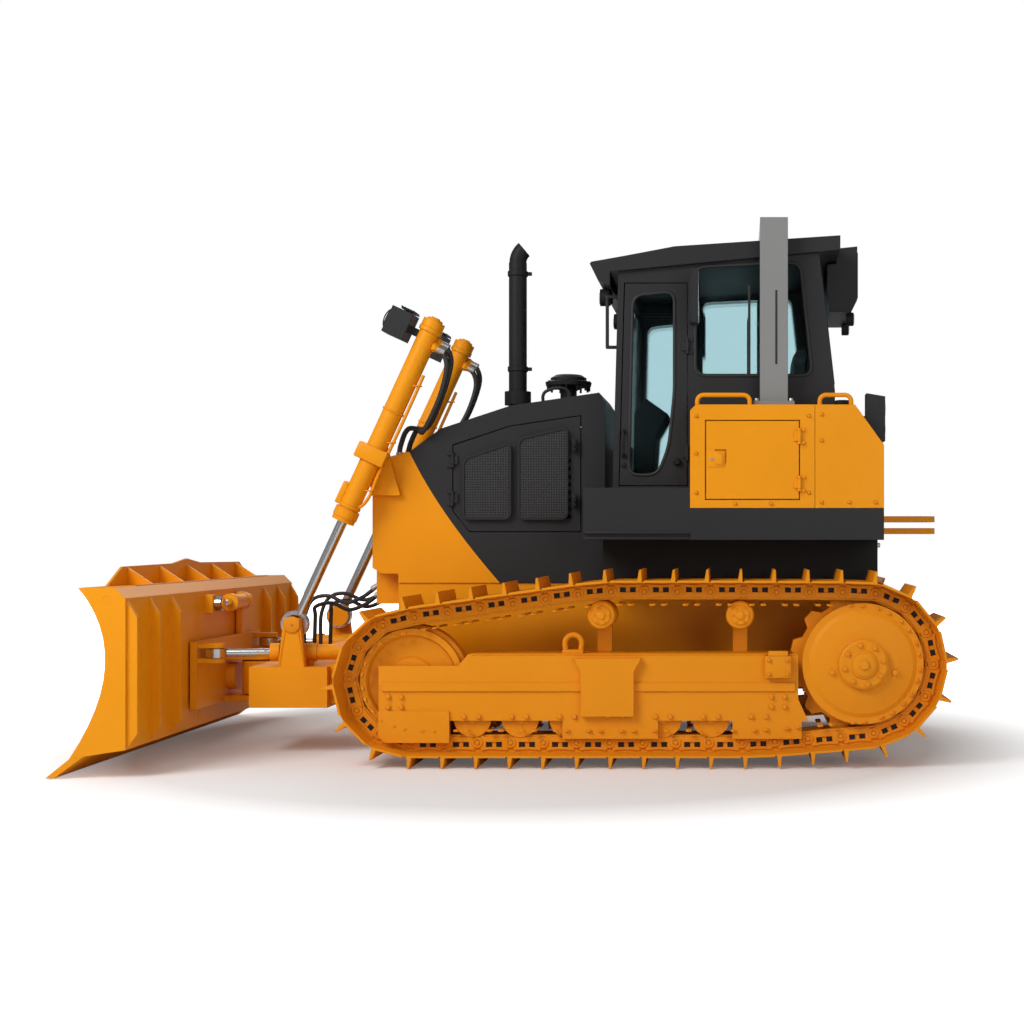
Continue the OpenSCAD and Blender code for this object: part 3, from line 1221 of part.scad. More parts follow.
// Places its children on the tilt cylinder, with +Z towards the head and the origin at the head pin
module on_tilt() {
  translate([tilt_cyl_x, tilt_y, tilt_cyl_z]) rotate([-90, 0, 0]) children();
}
module tilt_barrel() {
  color(paint) on_tilt() difference() {
    union() {
      barrel(angle_barrel_r, angle_rod_r, -tilt_barrel_len, -tilt_barrel_low - 18);
      translate([0, 0, -tilt_barrel_low - 40]) cylinder(r = tilt_eye_t / 2 - 1, h = tilt_barrel_low + 30);
      rotate([0, 90, 0]) translate([0, 0, -tilt_eye_t / 2]) cylinder(r = tilt_eye_r, h = tilt_eye_t);
    }
    rotate([0, 90, 0]) translate([0, 0, -tilt_eye_t / 2 - 1]) cylinder(r = 25 + run_gap, h = tilt_eye_t + 2);
  }
}
module tilt_rod() {
  color(bright) on_tilt() translate([0, 0, -tilt_reach]) rotate([0, 0, 90])
    rod(angle_rod_r, angle_barrel_r - barrel_wall - run_gap, tilt_reach - tilt_barrel_len + 208, tilt_eye_r, tilt_rod_bore, tilt_eye_t / 2);
}

NODES = ["hull", "cross_shafts", "radiator_guard", "radiator_grille", "hood", "engine", "exhaust_stack", "precleaner",
  "cab_base", "cab_shell", "cab_glass", "cab_roof", "rear_unit", "seat_frame", "seat_pads", "controls", "roll_bar",
  "fender_left", "fender_right", "side_box_left", "side_box_right", "rear_tank", "handrails", "cab_fittings",
  "rear_lamps", "rear_bracket", "track_frame_left", "track_frame_right", "track_left", "track_right", "idlers",
  "final_drives", "bottom_rollers", "carrier_rollers", "engine_door_left", "engine_door_right", "cab_door_left",
  "cab_door_right", "door_glass_left", "door_glass_right", "locker_door", "push_frame", "blade_carrier", "moldboard",
  "cutting_edge", "spill_guard", "lift_barrel_left", "lift_barrel_right", "lift_rod_left", "lift_rod_right",
  "lift_lamp_left", "lift_lamp_right", "angle_barrel_left", "angle_barrel_right", "angle_rod_left", "angle_rod_right",
  "tilt_barrel", "tilt_rod"];
node = "all";
// Draws its children once for each side
module both_sides() {
  children();
  mirror([0, 1, 0]) children();
}
function shown(name) = node == "all" || node == name;
if (shown("hull")) hull_body();
if (shown("cross_shafts")) cross_shafts();
if (shown("radiator_guard")) radiator_guard();
if (shown("radiator_grille")) radiator_grille();
if (shown("hood")) hood();
if (shown("engine")) engine();
if (shown("exhaust_stack")) exhaust_stack();
if (shown("precleaner")) precleaner();
if (shown("cab_base")) cab_base();
if (shown("cab_shell")) cab_shell();
if (shown("cab_glass")) cab_glass();
if (shown("cab_roof")) cab_roof();
if (shown("rear_unit")) rear_unit();
if (shown("seat_frame")) seat_frame();
if (shown("seat_pads")) seat_pads();
if (shown("controls")) controls();
if (shown("roll_bar")) roll_bar();
if (shown("fender_left")) fender(-1);
if (shown("fender_right")) fender(1);
if (shown("side_box_left")) side_box(-1, true);
if (shown("side_box_right")) side_box(1, false);
if (shown("rear_tank")) rear_tank();
if (shown("handrails")) handrails();
if (shown("cab_fittings")) cab_fittings();
if (shown("rear_lamps")) rear_lamps();
if (shown("rear_bracket")) rear_bracket();
if (shown("track_frame_left")) track_frame(-1);
if (shown("track_frame_right")) track_frame(1);
if (shown("track_left")) track(-1);
if (shown("track_right")) track(1);
if (shown("idlers")) both_sides() idler();
if (shown("final_drives")) both_sides() final_drive();
if (shown("bottom_rollers")) both_sides() bottom_rollers();
if (shown("carrier_rollers")) both_sides() carrier_rollers();
if (shown("engine_door_left")) engine_door(-1);
if (shown("engine_door_right")) engine_door(1);
if (shown("cab_door_left")) cab_door(-1);
if (shown("cab_door_right")) cab_door(1);
if (shown("door_glass_left")) door_glass(-1);
if (shown("door_glass_right")) door_glass(1);
if (shown("locker_door")) locker_door(-1);
if (shown("push_frame")) push_frame();
if (shown("blade_carrier")) blade_carrier();
if (shown("moldboard")) moldboard();
if (shown("cutting_edge")) cutting_edge();
if (shown("spill_guard")) spill_guard();
if (shown("lift_barrel_left")) lift_barrel_piece(-1);
if (shown("lift_barrel_right")) lift_barrel_piece(1);
if (shown("lift_rod_left")) lift_rod(-1);
if (shown("lift_rod_right")) lift_rod(1);
if (shown("lift_lamp_left")) lift_lamp(-1);
if (shown("lift_lamp_right")) lift_lamp(1);
if (shown("angle_barrel_left")) angle_barrel(-1);
if (shown("angle_barrel_right")) angle_barrel(1);
if (shown("angle_rod_left")) angle_rod(-1);
if (shown("angle_rod_right")) angle_rod(1);
if (shown("tilt_barrel")) tilt_barrel();
if (shown("tilt_rod")) tilt_rod();
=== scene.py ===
import math

import bpy
from mathutils import Matrix, Vector


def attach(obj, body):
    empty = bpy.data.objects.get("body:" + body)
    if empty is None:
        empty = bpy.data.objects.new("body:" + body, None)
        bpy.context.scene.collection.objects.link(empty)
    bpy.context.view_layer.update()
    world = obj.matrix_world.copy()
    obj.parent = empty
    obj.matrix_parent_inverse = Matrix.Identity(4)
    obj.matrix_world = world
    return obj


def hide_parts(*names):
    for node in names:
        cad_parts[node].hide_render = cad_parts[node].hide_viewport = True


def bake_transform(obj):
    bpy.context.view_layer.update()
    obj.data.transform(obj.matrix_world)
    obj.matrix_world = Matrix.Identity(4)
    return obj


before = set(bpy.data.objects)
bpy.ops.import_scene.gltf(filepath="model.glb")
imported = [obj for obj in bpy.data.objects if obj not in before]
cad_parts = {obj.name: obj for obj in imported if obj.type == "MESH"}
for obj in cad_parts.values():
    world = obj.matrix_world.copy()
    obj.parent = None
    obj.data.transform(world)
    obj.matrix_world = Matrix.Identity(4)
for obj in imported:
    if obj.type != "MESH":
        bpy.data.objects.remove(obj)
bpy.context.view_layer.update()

# Studio floor: a wide sheet of matt white paper under the machine.
# It shows white to the camera and still takes the soft shadow of the tracks.


class Wire:
    """One socket of a material; arithmetic on it adds Math nodes."""

    def __init__(self, tree, socket):
        self.tree, self.socket = tree, socket

    def calc(self, operation, a, b=0.0, clamp=False):
        return add(self.tree, "ShaderNodeMath", {"operation": operation, "use_clamp": clamp}, {0: a, 1: b})

    def __add__(self, other):
        return self.calc("ADD", self, other)

    def __sub__(self, other):
        return self.calc("SUBTRACT", self, other)

    def __rsub__(self, other):
        return self.calc("SUBTRACT", other, self)

    def __mul__(self, other):
        return self.calc("MULTIPLY", self, other)

    def __gt__(self, other):
        return self.calc("GREATER_THAN", self, other)

    __radd__ = __add__
    __rmul__ = __mul__


def plug(tree, socket, value):
    """Link a wire to a socket, or set its value."""
    if isinstance(value, Wire):
        tree.links.new(value.socket, socket)
    else:
        socket.default_value = value


def add(tree, kind, settings=None, sockets=None, out=0):
    """One node with its settings, then the values or links of its sockets."""
    node = tree.nodes.new(kind)
    for key, value in (settings or {}).items():
        if key == "stops":
            ramp = node.color_ramp.elements
            while len(ramp) < len(value):
                ramp.new(0.5)
            for stop, (place, shade) in zip(ramp, value):
                stop.position = place
                stop.color = (shade, shade, shade, 1)
        else:
            setattr(node, key, value)
    for key, value in (sockets or {}).items():
        plug(tree, node.inputs[key], value)
    return Wire(tree, node.outputs[out])


def new_finish(name):
    finish = bpy.data.materials.new(name)
    finish.use_nodes = True
    return finish, finish.node_tree, finish.node_tree.nodes["Principled BSDF"]


def feed(tree, shader, **values):
    for key, value in values.items():
        plug(tree, shader.inputs[key.replace("_", " ")], value)


def object_place(tree):
    return add(tree, "ShaderNodeTexCoord", None, None, "Object")


def release():
    """Leave edit mode with nothing selected."""
    if bpy.context.object and bpy.context.object.mode != "OBJECT":
        bpy.ops.object.mode_set(mode="OBJECT")
    bpy.ops.object.select_all(action="DESELECT")


FLOOR_SIZE, CLEAR_REACH, FADE_RATE, NEAR_GLOW = 60, 2.6, 0.35, 0.04
release()
bpy.ops.mesh.primitive_plane_add(size=FLOOR_SIZE, location=(0, 0, -0.002))
floor = bpy.context.object
floor.name = "studio_floor"
paper, tree, shader = new_finish("white_paper")
feed(tree, shader, Base_Color=(0.86, 0.86, 0.86, 1), Roughness=0.9, Specular_IOR_Level=0.1)
glow = add(tree, "ShaderNodeEmission", None, {"Color": (1, 1, 1, 1), "Strength": 2.2})
seen = add(tree, "ShaderNodeLightPath", None, None, "Is Camera Ray")
reach = add(tree, "ShaderNodeVectorMath", {"operation": "LENGTH"}, {0: object_place(tree)}, "Value")
fade = reach.calc("MULTIPLY", reach - CLEAR_REACH, FADE_RATE, True)
glowing = seen * (fade * (1 - NEAR_GLOW) + NEAR_GLOW)
blend = add(tree, "ShaderNodeMixShader", None, {0: glowing, 1: Wire(tree, shader.outputs[0]), 2: glow})
plug(tree, tree.nodes["Material Output"].inputs["Surface"], blend)
floor.data.materials.append(paper)

# Camera: level with the hood and square to the machine's left side.
# The lens is shifted towards the blade, so that upright edges stay upright.
release()
bpy.ops.object.camera_add(location=(1.33, -10.7, 1.37), rotation=(math.radians(90), 0, 0))
camera = bpy.context.object
camera.data.sensor_width = 36
camera.data.lens = 55.4
camera.data.shift_x = -0.2227
camera.data.shift_y = 0.0273
camera.data.clip_end = 200
bpy.context.scene.camera = camera
bpy.context.scene.view_settings.view_transform = "Standard"

# Lights: an even white room with three soft boxes.
# A large one hangs high on the camera's left, a small one stands at its right and one is behind the machine.
ROOM_LIGHT = 0.28
world = bpy.data.worlds.new("white_room")
bpy.context.scene.world = world
world.use_nodes = True
tree = world.node_tree
paths = tree.nodes.new("ShaderNodeLightPath")
shown = Wire(tree, paths.outputs["Is Camera Ray"]) + Wire(tree, paths.outputs["Is Transmission Ray"])
plain = shown.calc("MINIMUM", shown, 1.0)
feed(tree, tree.nodes["Background"], Strength=plain * (1 - ROOM_LIGHT) + ROOM_LIGHT, Color=(1, 1, 1, 1))


def soft_box(name, place, target, size, power):
    release()
    bpy.ops.object.light_add(type="AREA", location=place)
    lamp = bpy.context.object
    lamp.name = name
    lamp.data.size = size
    lamp.data.energy = power
    lamp.rotation_euler = (Vector(target) - Vector(place)).to_track_quat("-Z", "Y").to_euler()


soft_box("soft_box_high", (-5.5, -7.5, 7.5), (0, 0, 1.2), 5.0, 740)
soft_box("soft_box_front", (5.0, -9.0, 3.5), (0.5, 0, 1.2), 4.0, 150)
soft_box("soft_box_back", (-2.0, 8.0, 6.5), (0, 0, 1.5), 5.0, 240)

# Main body, hull and radiator guard: welded steel plate under orange-yellow enamel.
# The sprayed film has a slight orange peel, soft edges, and a little dust low down.


def noise(tree, place, scale, detail, **more):
    return add(tree, "ShaderNodeTexNoise", None, {"Vector": place, "Scale": scale, "Detail": detail, **more})


def mix(tree, share, first, second):
    return add(tree, "ShaderNodeMix", {"data_type": "RGBA"}, {0: share, 6: first, 7: second}, 2)


def ease(tree, value, low, high):
    """Nought up to low, one from high on."""
    return add(tree, "ShaderNodeValToRGB", {"stops": [(low, 0), (high, 1)]}, {0: value})


def bump(tree, height, strength, depth, **more):
    sockets = {"Strength": strength, "Distance": depth, "Height": height}
    return add(tree, "ShaderNodeBump", None, {**sockets, **more})


LOW_DUST, BARE_STEEL = (0.30, 0.22, 0.14, 1), (0.17, 0.15, 0.14, 1)


def enamel(name, colour, gloss=0.4, dust=0.03, chips=0.0, edge=0.006, peel=0.06):
    finish, tree, shader = new_finish(name)
    place = object_place(tree)
    high = add(tree, "ShaderNodeSeparateXYZ", None, {0: place}, "Z")
    clouds = noise(tree, place, 1.3, 4.0)
    grit = noise(tree, place, 38.0, 6.0, Roughness=0.7)
    fine = noise(tree, place, 420.0, 1.0)
    deep = tuple(c * 0.9 for c in colour) + (1,)
    light = tuple(min(1, c * 1.06 + 0.004) for c in colour) + (1,)
    coat = mix(tree, clouds, deep, light)
    round_edge = add(tree, "ShaderNodeBevel", {"samples": 4}, {"Radius": edge})
    flat = add(tree, "ShaderNodeNewGeometry", None, None, "Normal")
    turn = add(tree, "ShaderNodeVectorMath", {"operation": "DOT_PRODUCT"}, {0: round_edge, 1: flat}, "Value")
    rim = turn.calc("SUBTRACT", 1.0, turn, True)
    low = high.calc("SUBTRACT", 1.0, high * 0.75, True)
    film = low * dust * ease(tree, grit * 0.45 + clouds * 0.55, 0.38, 0.75)
    dusty = mix(tree, film, coat, LOW_DUST)
    worn = rim.calc("MULTIPLY", rim * 5.0, ease(tree, grit, 0.5, 0.62), True)
    bare = mix(tree, worn * chips, dusty, BARE_STEEL)
    skin = bump(tree, fine, peel, 0.0015, Normal=round_edge)
    feed(tree, shader, Base_Color=bare, Roughness=gloss + film * 0.8 + grit * 0.06, Normal=skin, IOR=1.48,
         Specular_IOR_Level=0.2)
    return finish


ORANGE = (0.87, 0.315, 0.001)
body_enamel = enamel("body_enamel", ORANGE)
gear_enamel = enamel("gear_enamel", (0.80, 0.275, 0.001), gloss=0.48, dust=0.07, chips=0.5, edge=0.004)
blade_enamel = enamel("blade_enamel", ORANGE, gloss=0.42, dust=0.05, chips=0.35, edge=0.005)


def dress(finish, *names):
    for name in names:
        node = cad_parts[name]
        for holder in node.material_slots:
            holder.material = finish
        if not node.material_slots:
            node.data.materials.append(finish)


dress(body_enamel, "hull", "radiator_guard", "cross_shafts", "side_box_left", "side_box_right", "rear_tank",
      "handrails", "rear_bracket", "locker_door")
dress(gear_enamel, "track_left", "track_right", "idlers", "final_drives", "bottom_rollers", "carrier_rollers",
      "track_frame_left", "track_frame_right")
dress(blade_enamel, "moldboard", "cutting_edge", "spill_guard", "push_frame", "blade_carrier",
      "lift_barrel_left", "lift_barrel_right", "angle_barrel_left", "angle_barrel_right", "tilt_barrel")

# Hood, cab frame, fenders and doors: pressed and welded sheet steel.
# They are sprayed in charcoal satin enamel, as are the lamp housings and the grille.
charcoal = enamel("charcoal_satin", (0.024, 0.024, 0.026), gloss=0.42, dust=0.05, edge=0.006, peel=0.12)
dress(charcoal, "hood", "cab_shell", "cab_roof", "rear_unit", "fender_left", "fender_right",
      "engine_door_left", "engine_door_right", "cab_door_left", "cab_door_right", "cab_fittings",
      "rear_lamps", "lift_lamp_left", "lift_lamp_right", "radiator_grille")

# Roll-over bar: a square steel portal bolted to the deck, in mid-grey enamel.
# The engine block behind the doors is cast iron under a darker grey.
portal_grey = enamel("portal_grey", (0.25, 0.25, 0.245), gloss=0.5, dust=0.04, edge=0.008)
dress(portal_grey, "roll_bar")
dress(enamel("engine_grey", (0.16, 0.165, 0.16), gloss=0.5, dust=0.2, edge=0.01), "engine")

# Exhaust and precleaner: steel pipe and cap under a dull heat-proof black coating.
# The seat frame, the controls and the cab's base have the same black.
black_coat = enamel("heatproof_black", (0.012, 0.012, 0.012), gloss=0.5, dust=0.03, edge=0.004, peel=0.15)
dress(black_coat, "exhaust_stack", "precleaner", "seat_frame", "controls", "cab_base")

# Cylinder rods: ground steel bars plated with hard chrome.
# The grinding leaves fine rings in the gloss.
chrome, tree, shader = new_finish("hard_chrome")
drawn = add(tree, "ShaderNodeMapping", None, {"Vector": object_place(tree), "Scale": (60, 60, 900)})
rings = noise(tree, drawn, 1.0, 2.0)
feed(tree, shader, Base_Color=(0.62, 0.63, 0.64, 1), Metallic=1.0, Roughness=rings * 0.16 + 0.12)
dress(chrome, "lift_rod_left", "lift_rod_right", "angle_rod_left", "angle_rod_right", "tilt_rod")

# Cab glass: flat tempered panes with a green-blue tint.
# A slight haze breaks the mirror finish of the float glass.
pane, tree, shader = new_finish("tempered_glass")
haze = noise(tree, object_place(tree), 2.2, 3.0)
feed(tree, shader, Base_Color=(0.42, 0.66, 0.70, 1), Roughness=haze * 0.03, Transmission_Weight=1.0, IOR=1.1,
     Alpha=0.6)
dress(pane, "cab_glass", "door_glass_left", "door_glass_right")

# Track chains: forged links in pairs, joined by pressed pins, with a bolted shoe on each pair.
# The plates have a waist, a window for the bolt nuts and a round boss at each pin.
# Each wheel that the belt of pins wraps is given by its centre, x and z, and the radius of the pins round it.
WHEELS = [(-0.670, 0.514, 0.377), (1.443, 0.284, 0.147), (2.075, 0.620, 0.431),
          (1.330, 0.913, 0.142), (0.487, 0.913, 0.142)]
TRACK_Y, RAIL_Y, RAIL_HALF, SHOE_FACE = 1.0, 0.085, 0.020, 0.072
PITCH, STEPS = 0.2, 200
SIDES = ((-1, "left"), (1, "right"))


def run_between(a, b):
    """The straight run that touches two wheels: its outward normal and its two ends."""
    across = Vector((b[0] - a[0], b[1] - a[1]))
    far = across.length
    along = across / far
    lean = (a[2] - b[2]) / far
    out = math.sqrt(1 - lean * lean) * Vector((along.y, -along.x)) + lean * along
    return out, Vector(a[:2]) + a[2] * out, Vector(b[:2]) + b[2] * out


def chain_pins(pitch):
    """The pins' places along the belt, at the whole number of links nearest to the pitch."""
    runs = [run_between(WHEELS[i], WHEELS[(i + 1) % len(WHEELS)]) for i in range(len(WHEELS))]
    path = []
    for i, (out, start, end) in enumerate(runs):
        path += [start.lerp(end, k / STEPS) for k in range(STEPS)]
        wheel, following = WHEELS[(i + 1) % len(WHEELS)], runs[(i + 1) % len(runs)][0]
        first = math.atan2(out.y, out.x)
        bend = math.atan2(following.y, following.x) - first
        sweep = math.remainder(bend - math.pi / 2, math.tau) + math.pi / 2
        turns = [first + sweep * k / STEPS for k in range(STEPS)]
        path += [Vector(wheel[:2]) + wheel[2] * Vector((math.cos(a), math.sin(a))) for a in turns]
    far = [0.0]
    for a, b in zip(path, path[1:] + path[:1]):
        far.append(far[-1] + (b - a).length)
    count = round(far[-1] / pitch)
    pins, at = [], 0
    for i in range(count):
        goal = i * far[-1] / count
        while far[at + 1] < goal:
            at += 1
        share = (goal - far[at]) / max(1e-9, far[at + 1] - far[at])
        pins.append(path[at].lerp(path[(at + 1) % len(path)], share))
    return pins


PINS = chain_pins(PITCH)


def on_link(i, side, row):
    """The place of one link: X along the chain, Z towards the wheels."""
    a, b = PINS[i], PINS[(i + 1) % len(PINS)]
    along = (b - a).normalized()
    mid = (a + b) / 2
    turn = Matrix(((along.x, 0, along.y, 0), (0, 1, 0, 0), (along.y, 0, -along.x, 0), (0, 0, 0, 1)))
    return Matrix.Translation((mid.x, side * TRACK_Y + row, mid.y)) @ turn


def take(obj):
    """Select one object alone and make it active."""
    release()
    obj.select_set(True)
    bpy.context.view_layer.objects.active = obj


def enter_edit(action="SELECT"):
    bpy.ops.object.mode_set(mode="EDIT")
    bpy.ops.mesh.select_all(action=action)


def leave_edit():
    bpy.ops.object.mode_set(mode="OBJECT")


def settle(obj, finish, body, slot, angle=35):
    """Close and smooth a finished piece, give it its finish and put it on its body."""
    take(obj)
    enter_edit()
    bpy.ops.mesh.remove_doubles(threshold=0.00002)
    bpy.ops.mesh.normals_make_consistent(inside=False)
    leave_edit()
    bpy.ops.object.shade_smooth_by_angle(angle=math.radians(angle))
    obj.data.materials.clear()
    obj.data.materials.append(finish)
    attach(obj, body)
    return obj


def facing(place, normal):
    """A seat on a surface, with its Z axis along the normal."""
    return Matrix.Translation(place) @ Vector(normal).to_track_quat("Z", "Y").to_matrix().to_4x4()


def draw_out(by):
    bpy.ops.mesh.extrude_region_move(TRANSFORM_OT_translate={"value": by})


def lathe(radius, steps):
    """Draw the selected rim out along Z, with a new radius at each step."""
    for advance, after in steps:
        draw_out((0, 0, advance))
        bpy.ops.transform.resize(value=(after / radius, after / radius, 1))
        radius = after


def turned(radius, steps, at=(0, 0, 0), along=(0, 0, 1), sides=24):
    """A lathe piece: a disc drawn out along an axis, with a new radius at each step."""
    release()
    bpy.ops.mesh.primitive_circle_add(vertices=sides, radius=radius, fill_type="NGON")
    piece = bpy.context.object
    enter_edit()
    lathe(radius, steps)
    bpy.ops.mesh.select_all(action="SELECT")
    bpy.ops.mesh.normals_make_consistent(inside=False)
    leave_edit()
    piece.data.transform(facing(at, along))
    return piece


def block(low, high, bevel=0.004, rounds=2):
    """A sawn or cast block between two opposite corners, in any order, with its edges broken."""
    release()
    low, high = (Vector([pick(pair) for pair in zip(low, high)]) for pick in (min, max))
    bpy.ops.mesh.primitive_cube_add(size=1)
    piece = bpy.context.object
    piece.data.transform(Matrix.Translation((low + high) / 2) @ Matrix.Diagonal((*(high - low), 1)))
    enter_edit()
    bpy.ops.mesh.bevel(offset=bevel, segments=rounds, affect="EDGES")
    leave_edit()
    return piece


def gather(name, pieces):
    """Join pieces into one object."""
    release()
    for piece in pieces:
        piece.select_set(True)
    bpy.context.view_layer.objects.active = pieces[0]
    if len(pieces) > 1:
        bpy.ops.object.join()
    whole = bpy.context.view_layer.objects.active
    whole.name = name
    whole.data.name = name
    return whole


def repeat(name, pattern, places):
    """Copies of one piece, each with its own mesh, gathered into one object."""
    made = []
    for place in places:
        copy = pattern.copy()
        copy.data = pattern.data.copy()
        copy.data.transform(place)
        if place.determinant() < 0:
            copy.data.flip_normals()
        bpy.context.collection.objects.link(copy)
        made.append(copy)
    bpy.data.objects.remove(pattern)
    return gather(name, made)


PLATE_LONG, PLATE_HIGH, PLATE_T, PLATE_RISE = 0.176, 0.092, 0.009, 0.004


def link_plate():
    """One side plate, lying along X with its outer face towards +Y."""
    release()
    bpy.ops.mesh.primitive_grid_add(x_subdivisions=9, y_subdivisions=5, size=1)
    plate = bpy.context.object
    upright = Matrix.Rotation(math.radians(90), 4, "X")
    plate.data.transform(upright @ Matrix.Diagonal((PLATE_LONG, PLATE_HIGH, 1, 1)))
    for point in plate.data.vertices:
        reach = abs(point.co.x) / (PLATE_LONG / 2)
        point.co.z = point.co.z * (0.82 + 0.18 * reach ** 2) + PLATE_RISE
        if abs(point.co.z - PLATE_RISE) > 0.03 and reach > 0.9:
            point.co.x *= 0.86
    enter_edit("DESELECT")
    leave_edit()
    for face in plate.data.polygons:
        face.select = abs(abs(face.center.x) - 0.03) < 0.022 and abs(face.center.z - 0.012) < 0.016
    bpy.ops.object.mode_set(mode="EDIT")
    bpy.ops.mesh.delete(type="FACE")
    bpy.ops.mesh.select_all(action="SELECT")
    draw_out((0, PLATE_T, 0))
    leave_edit()
    return plate


LINKS = range(len(PINS))
for side, word in SIDES:
    outward = [on_link(i, side, row) @ (Matrix.Identity(4) if row > 0 else Matrix.Diagonal((1, -1, 1, 1)))
               for i in LINKS for row in (RAIL_Y + RAIL_HALF, -RAIL_Y - RAIL_HALF)]
    settle(repeat("link_plates_" + word, link_plate(), outward), gear_enamel, "chassis", "running_gear")
    # Black blocks fill the plate windows: painted shade of the recess behind each window.
    window_shade_places = [place @ Matrix.Translation((u, 0, 0)) for place in outward for u in (-0.030, 0.030)]
    window = block((-0.017, -0.002, -0.002), (0.017, 0.003, 0.027), 0.0005, 1)
    settle(repeat("link_windows_" + word, window, window_shade_places), black_coat, "chassis", "running_gear")
    steps = [(0.012, 0.034), (0.003, 0.030), (0, 0.019), (-0.004, 0.019), (0, 0.015), (0.007, 0.013)]
    boss = turned(0.034, steps, along=(0, 1, 0), sides=18)
    at_pins = [Matrix.Translation((PINS[i].x, side * TRACK_Y + row * (RAIL_Y + RAIL_HALF), PINS[i].y))
               @ Matrix.Diagonal((1, row, 1, 1)) for i in LINKS for row in (1, -1)]
    settle(repeat("track_pins_" + word, boss, at_pins), gear_enamel, "chassis", "running_gear")
    bolt = turned(0.019, [(0.010, 0.019), (0.002, 0.016)], sides=6)
    heads = [on_link(i, side, 0) @ Matrix.Translation((u, v, -SHOE_FACE)) @ Matrix.Rotation(math.pi, 4, "X")
             for i in LINKS for u in (-0.02, 0.05) for v in (-0.155, -0.085, 0.085, 0.155)]
    settle(repeat("shoe_bolts_" + word, bolt, heads), gear_enamel, "chassis", "running_gear")

# Final drives, idlers and rollers: cast and machined wheels with bolted covers.
# The bolts sit in rings on the cover flanges, and each roller shaft ends in a plugged cap.


def ring_of(count, radius, x, y, z, side, phase=0.0):
    """Places round a circle on an upright face that looks outwards."""
    turns = [math.tau * k / count + phase for k in range(count)]
    return [facing((x + radius * math.cos(a), y, z + radius * math.sin(a)), (0, side, 0)) for a in turns]


def hex_bolt(size, tall):
    return turned(size, [(tall, size), (tall * 0.22, size * 0.82)], sides=6)


def washer_bolt(size, tall):
    steps = [(tall * 0.2, size * 1.5), (0, size), (tall, size), (tall * 0.2, size * 0.8)]
    return turned(size * 1.5, steps, sides=12)


def fit(name, pieces, *how):
    """Join pieces and settle them as one."""
    return settle(gather(name, pieces), *how)


DRIVE = WHEELS[2][:2]
CARRIERS, CARRIER_Z = (1.330, 0.487), 0.913
for side, word in SIDES:
    face = lambda out: side * (TRACK_Y + out)
    rings = ring_of(8, 0.119, DRIVE[0], face(0.237), DRIVE[1], side, 0.2)
    rim = repeat("drive_bolts_" + word, washer_bolt(0.014, 0.013), rings)
    settle(rim, gear_enamel, "chassis", "running_gear")
    plugs = [turned(0.070, [(0.006, 0.070), (0.004, 0.064), (0, 0.030), (0.012, 0.028), (0.003, 0.024)],
                    (DRIVE[0], face(0.251), DRIVE[1]), (0, side, 0), 32)]
    plugs += [turned(0.018, [(0.010, 0.018), (0.002, 0.014)], (DRIVE[0] + dx, face(0.200), DRIVE[1] - 0.05),
                     (0, side, 0), 6) for dx in (0.19, -0.19)]
    fit("drive_plugs_" + word, plugs, gear_enamel, "chassis", "running_gear")
    caps = [turned(0.060, [(0.006, 0.060), (0.004, 0.055), (0, 0.026), (0.008, 0.024), (0.002, 0.02)],
                   (x, face(0.141), CARRIER_Z), (0, side, 0), 28) for x in CARRIERS]
    fit("carrier_caps_" + word, caps, gear_enamel, "chassis", "running_gear")
    bolts = [place for x in CARRIERS for place in ring_of(6, 0.045, x, face(0.151), CARRIER_Z, side)]
    rim = repeat("carrier_bolts_" + word, hex_bolt(0.007, 0.006), bolts)
    settle(rim, gear_enamel, "chassis", "running_gear")

# Track frames: welded box beams with side plates, a lifting eye and a bracket for the track guide.
# Weld beads run along the plate seams, and bolts hold the roller shafts and guards.


def round_line(name, radius, rounds):
    """An empty curve with a round section."""
    line = bpy.data.curves.new(name, "CURVE")
    line.dimensions = "3D"
    line.bevel_depth = radius
    line.bevel_resolution = rounds
    return line


def as_mesh(line):
    bar = bpy.data.objects.new(line.name, line)
    bpy.context.collection.objects.link(bar)
    take(bar)
    bpy.ops.object.convert(target="MESH")
    return bpy.context.object


def weld(points, size=0.006):
    """A weld bead: a round bar along the seam, rippled by its own steps."""
    line = round_line("bead", size, 1)
    run = line.splines.new("POLY")
    steps = []
    for a, b in zip(points, points[1:]):
        a, b = Vector(a), Vector(b)
        count = max(2, int((b - a).length / 0.02))
        steps += [a.lerp(b, k / count) for k in range(count)]
    steps.append(Vector(points[-1]))
    run.points.add(len(steps) - 1)
    for k, (point, step) in enumerate(zip(run.points, steps)):
        point.co = (*step, 1)
        point.radius = 1.0 if k % 2 else 0.72
    return as_mesh(line)


def hoop(points, radius, rounds=3, sides=3):
    """A bent round bar or pipe through the points, with smooth bends."""
    line = round_line("bar", radius, sides)
    line.use_fill_caps = True
    line.resolution_u = rounds * 4
    run = line.splines.new("BEZIER")
    run.bezier_points.add(len(points) - 1)
    for knot, point in zip(run.bezier_points, points):
        knot.co = point
        knot.handle_left_type = knot.handle_right_type = "AUTO"
    return as_mesh(line)


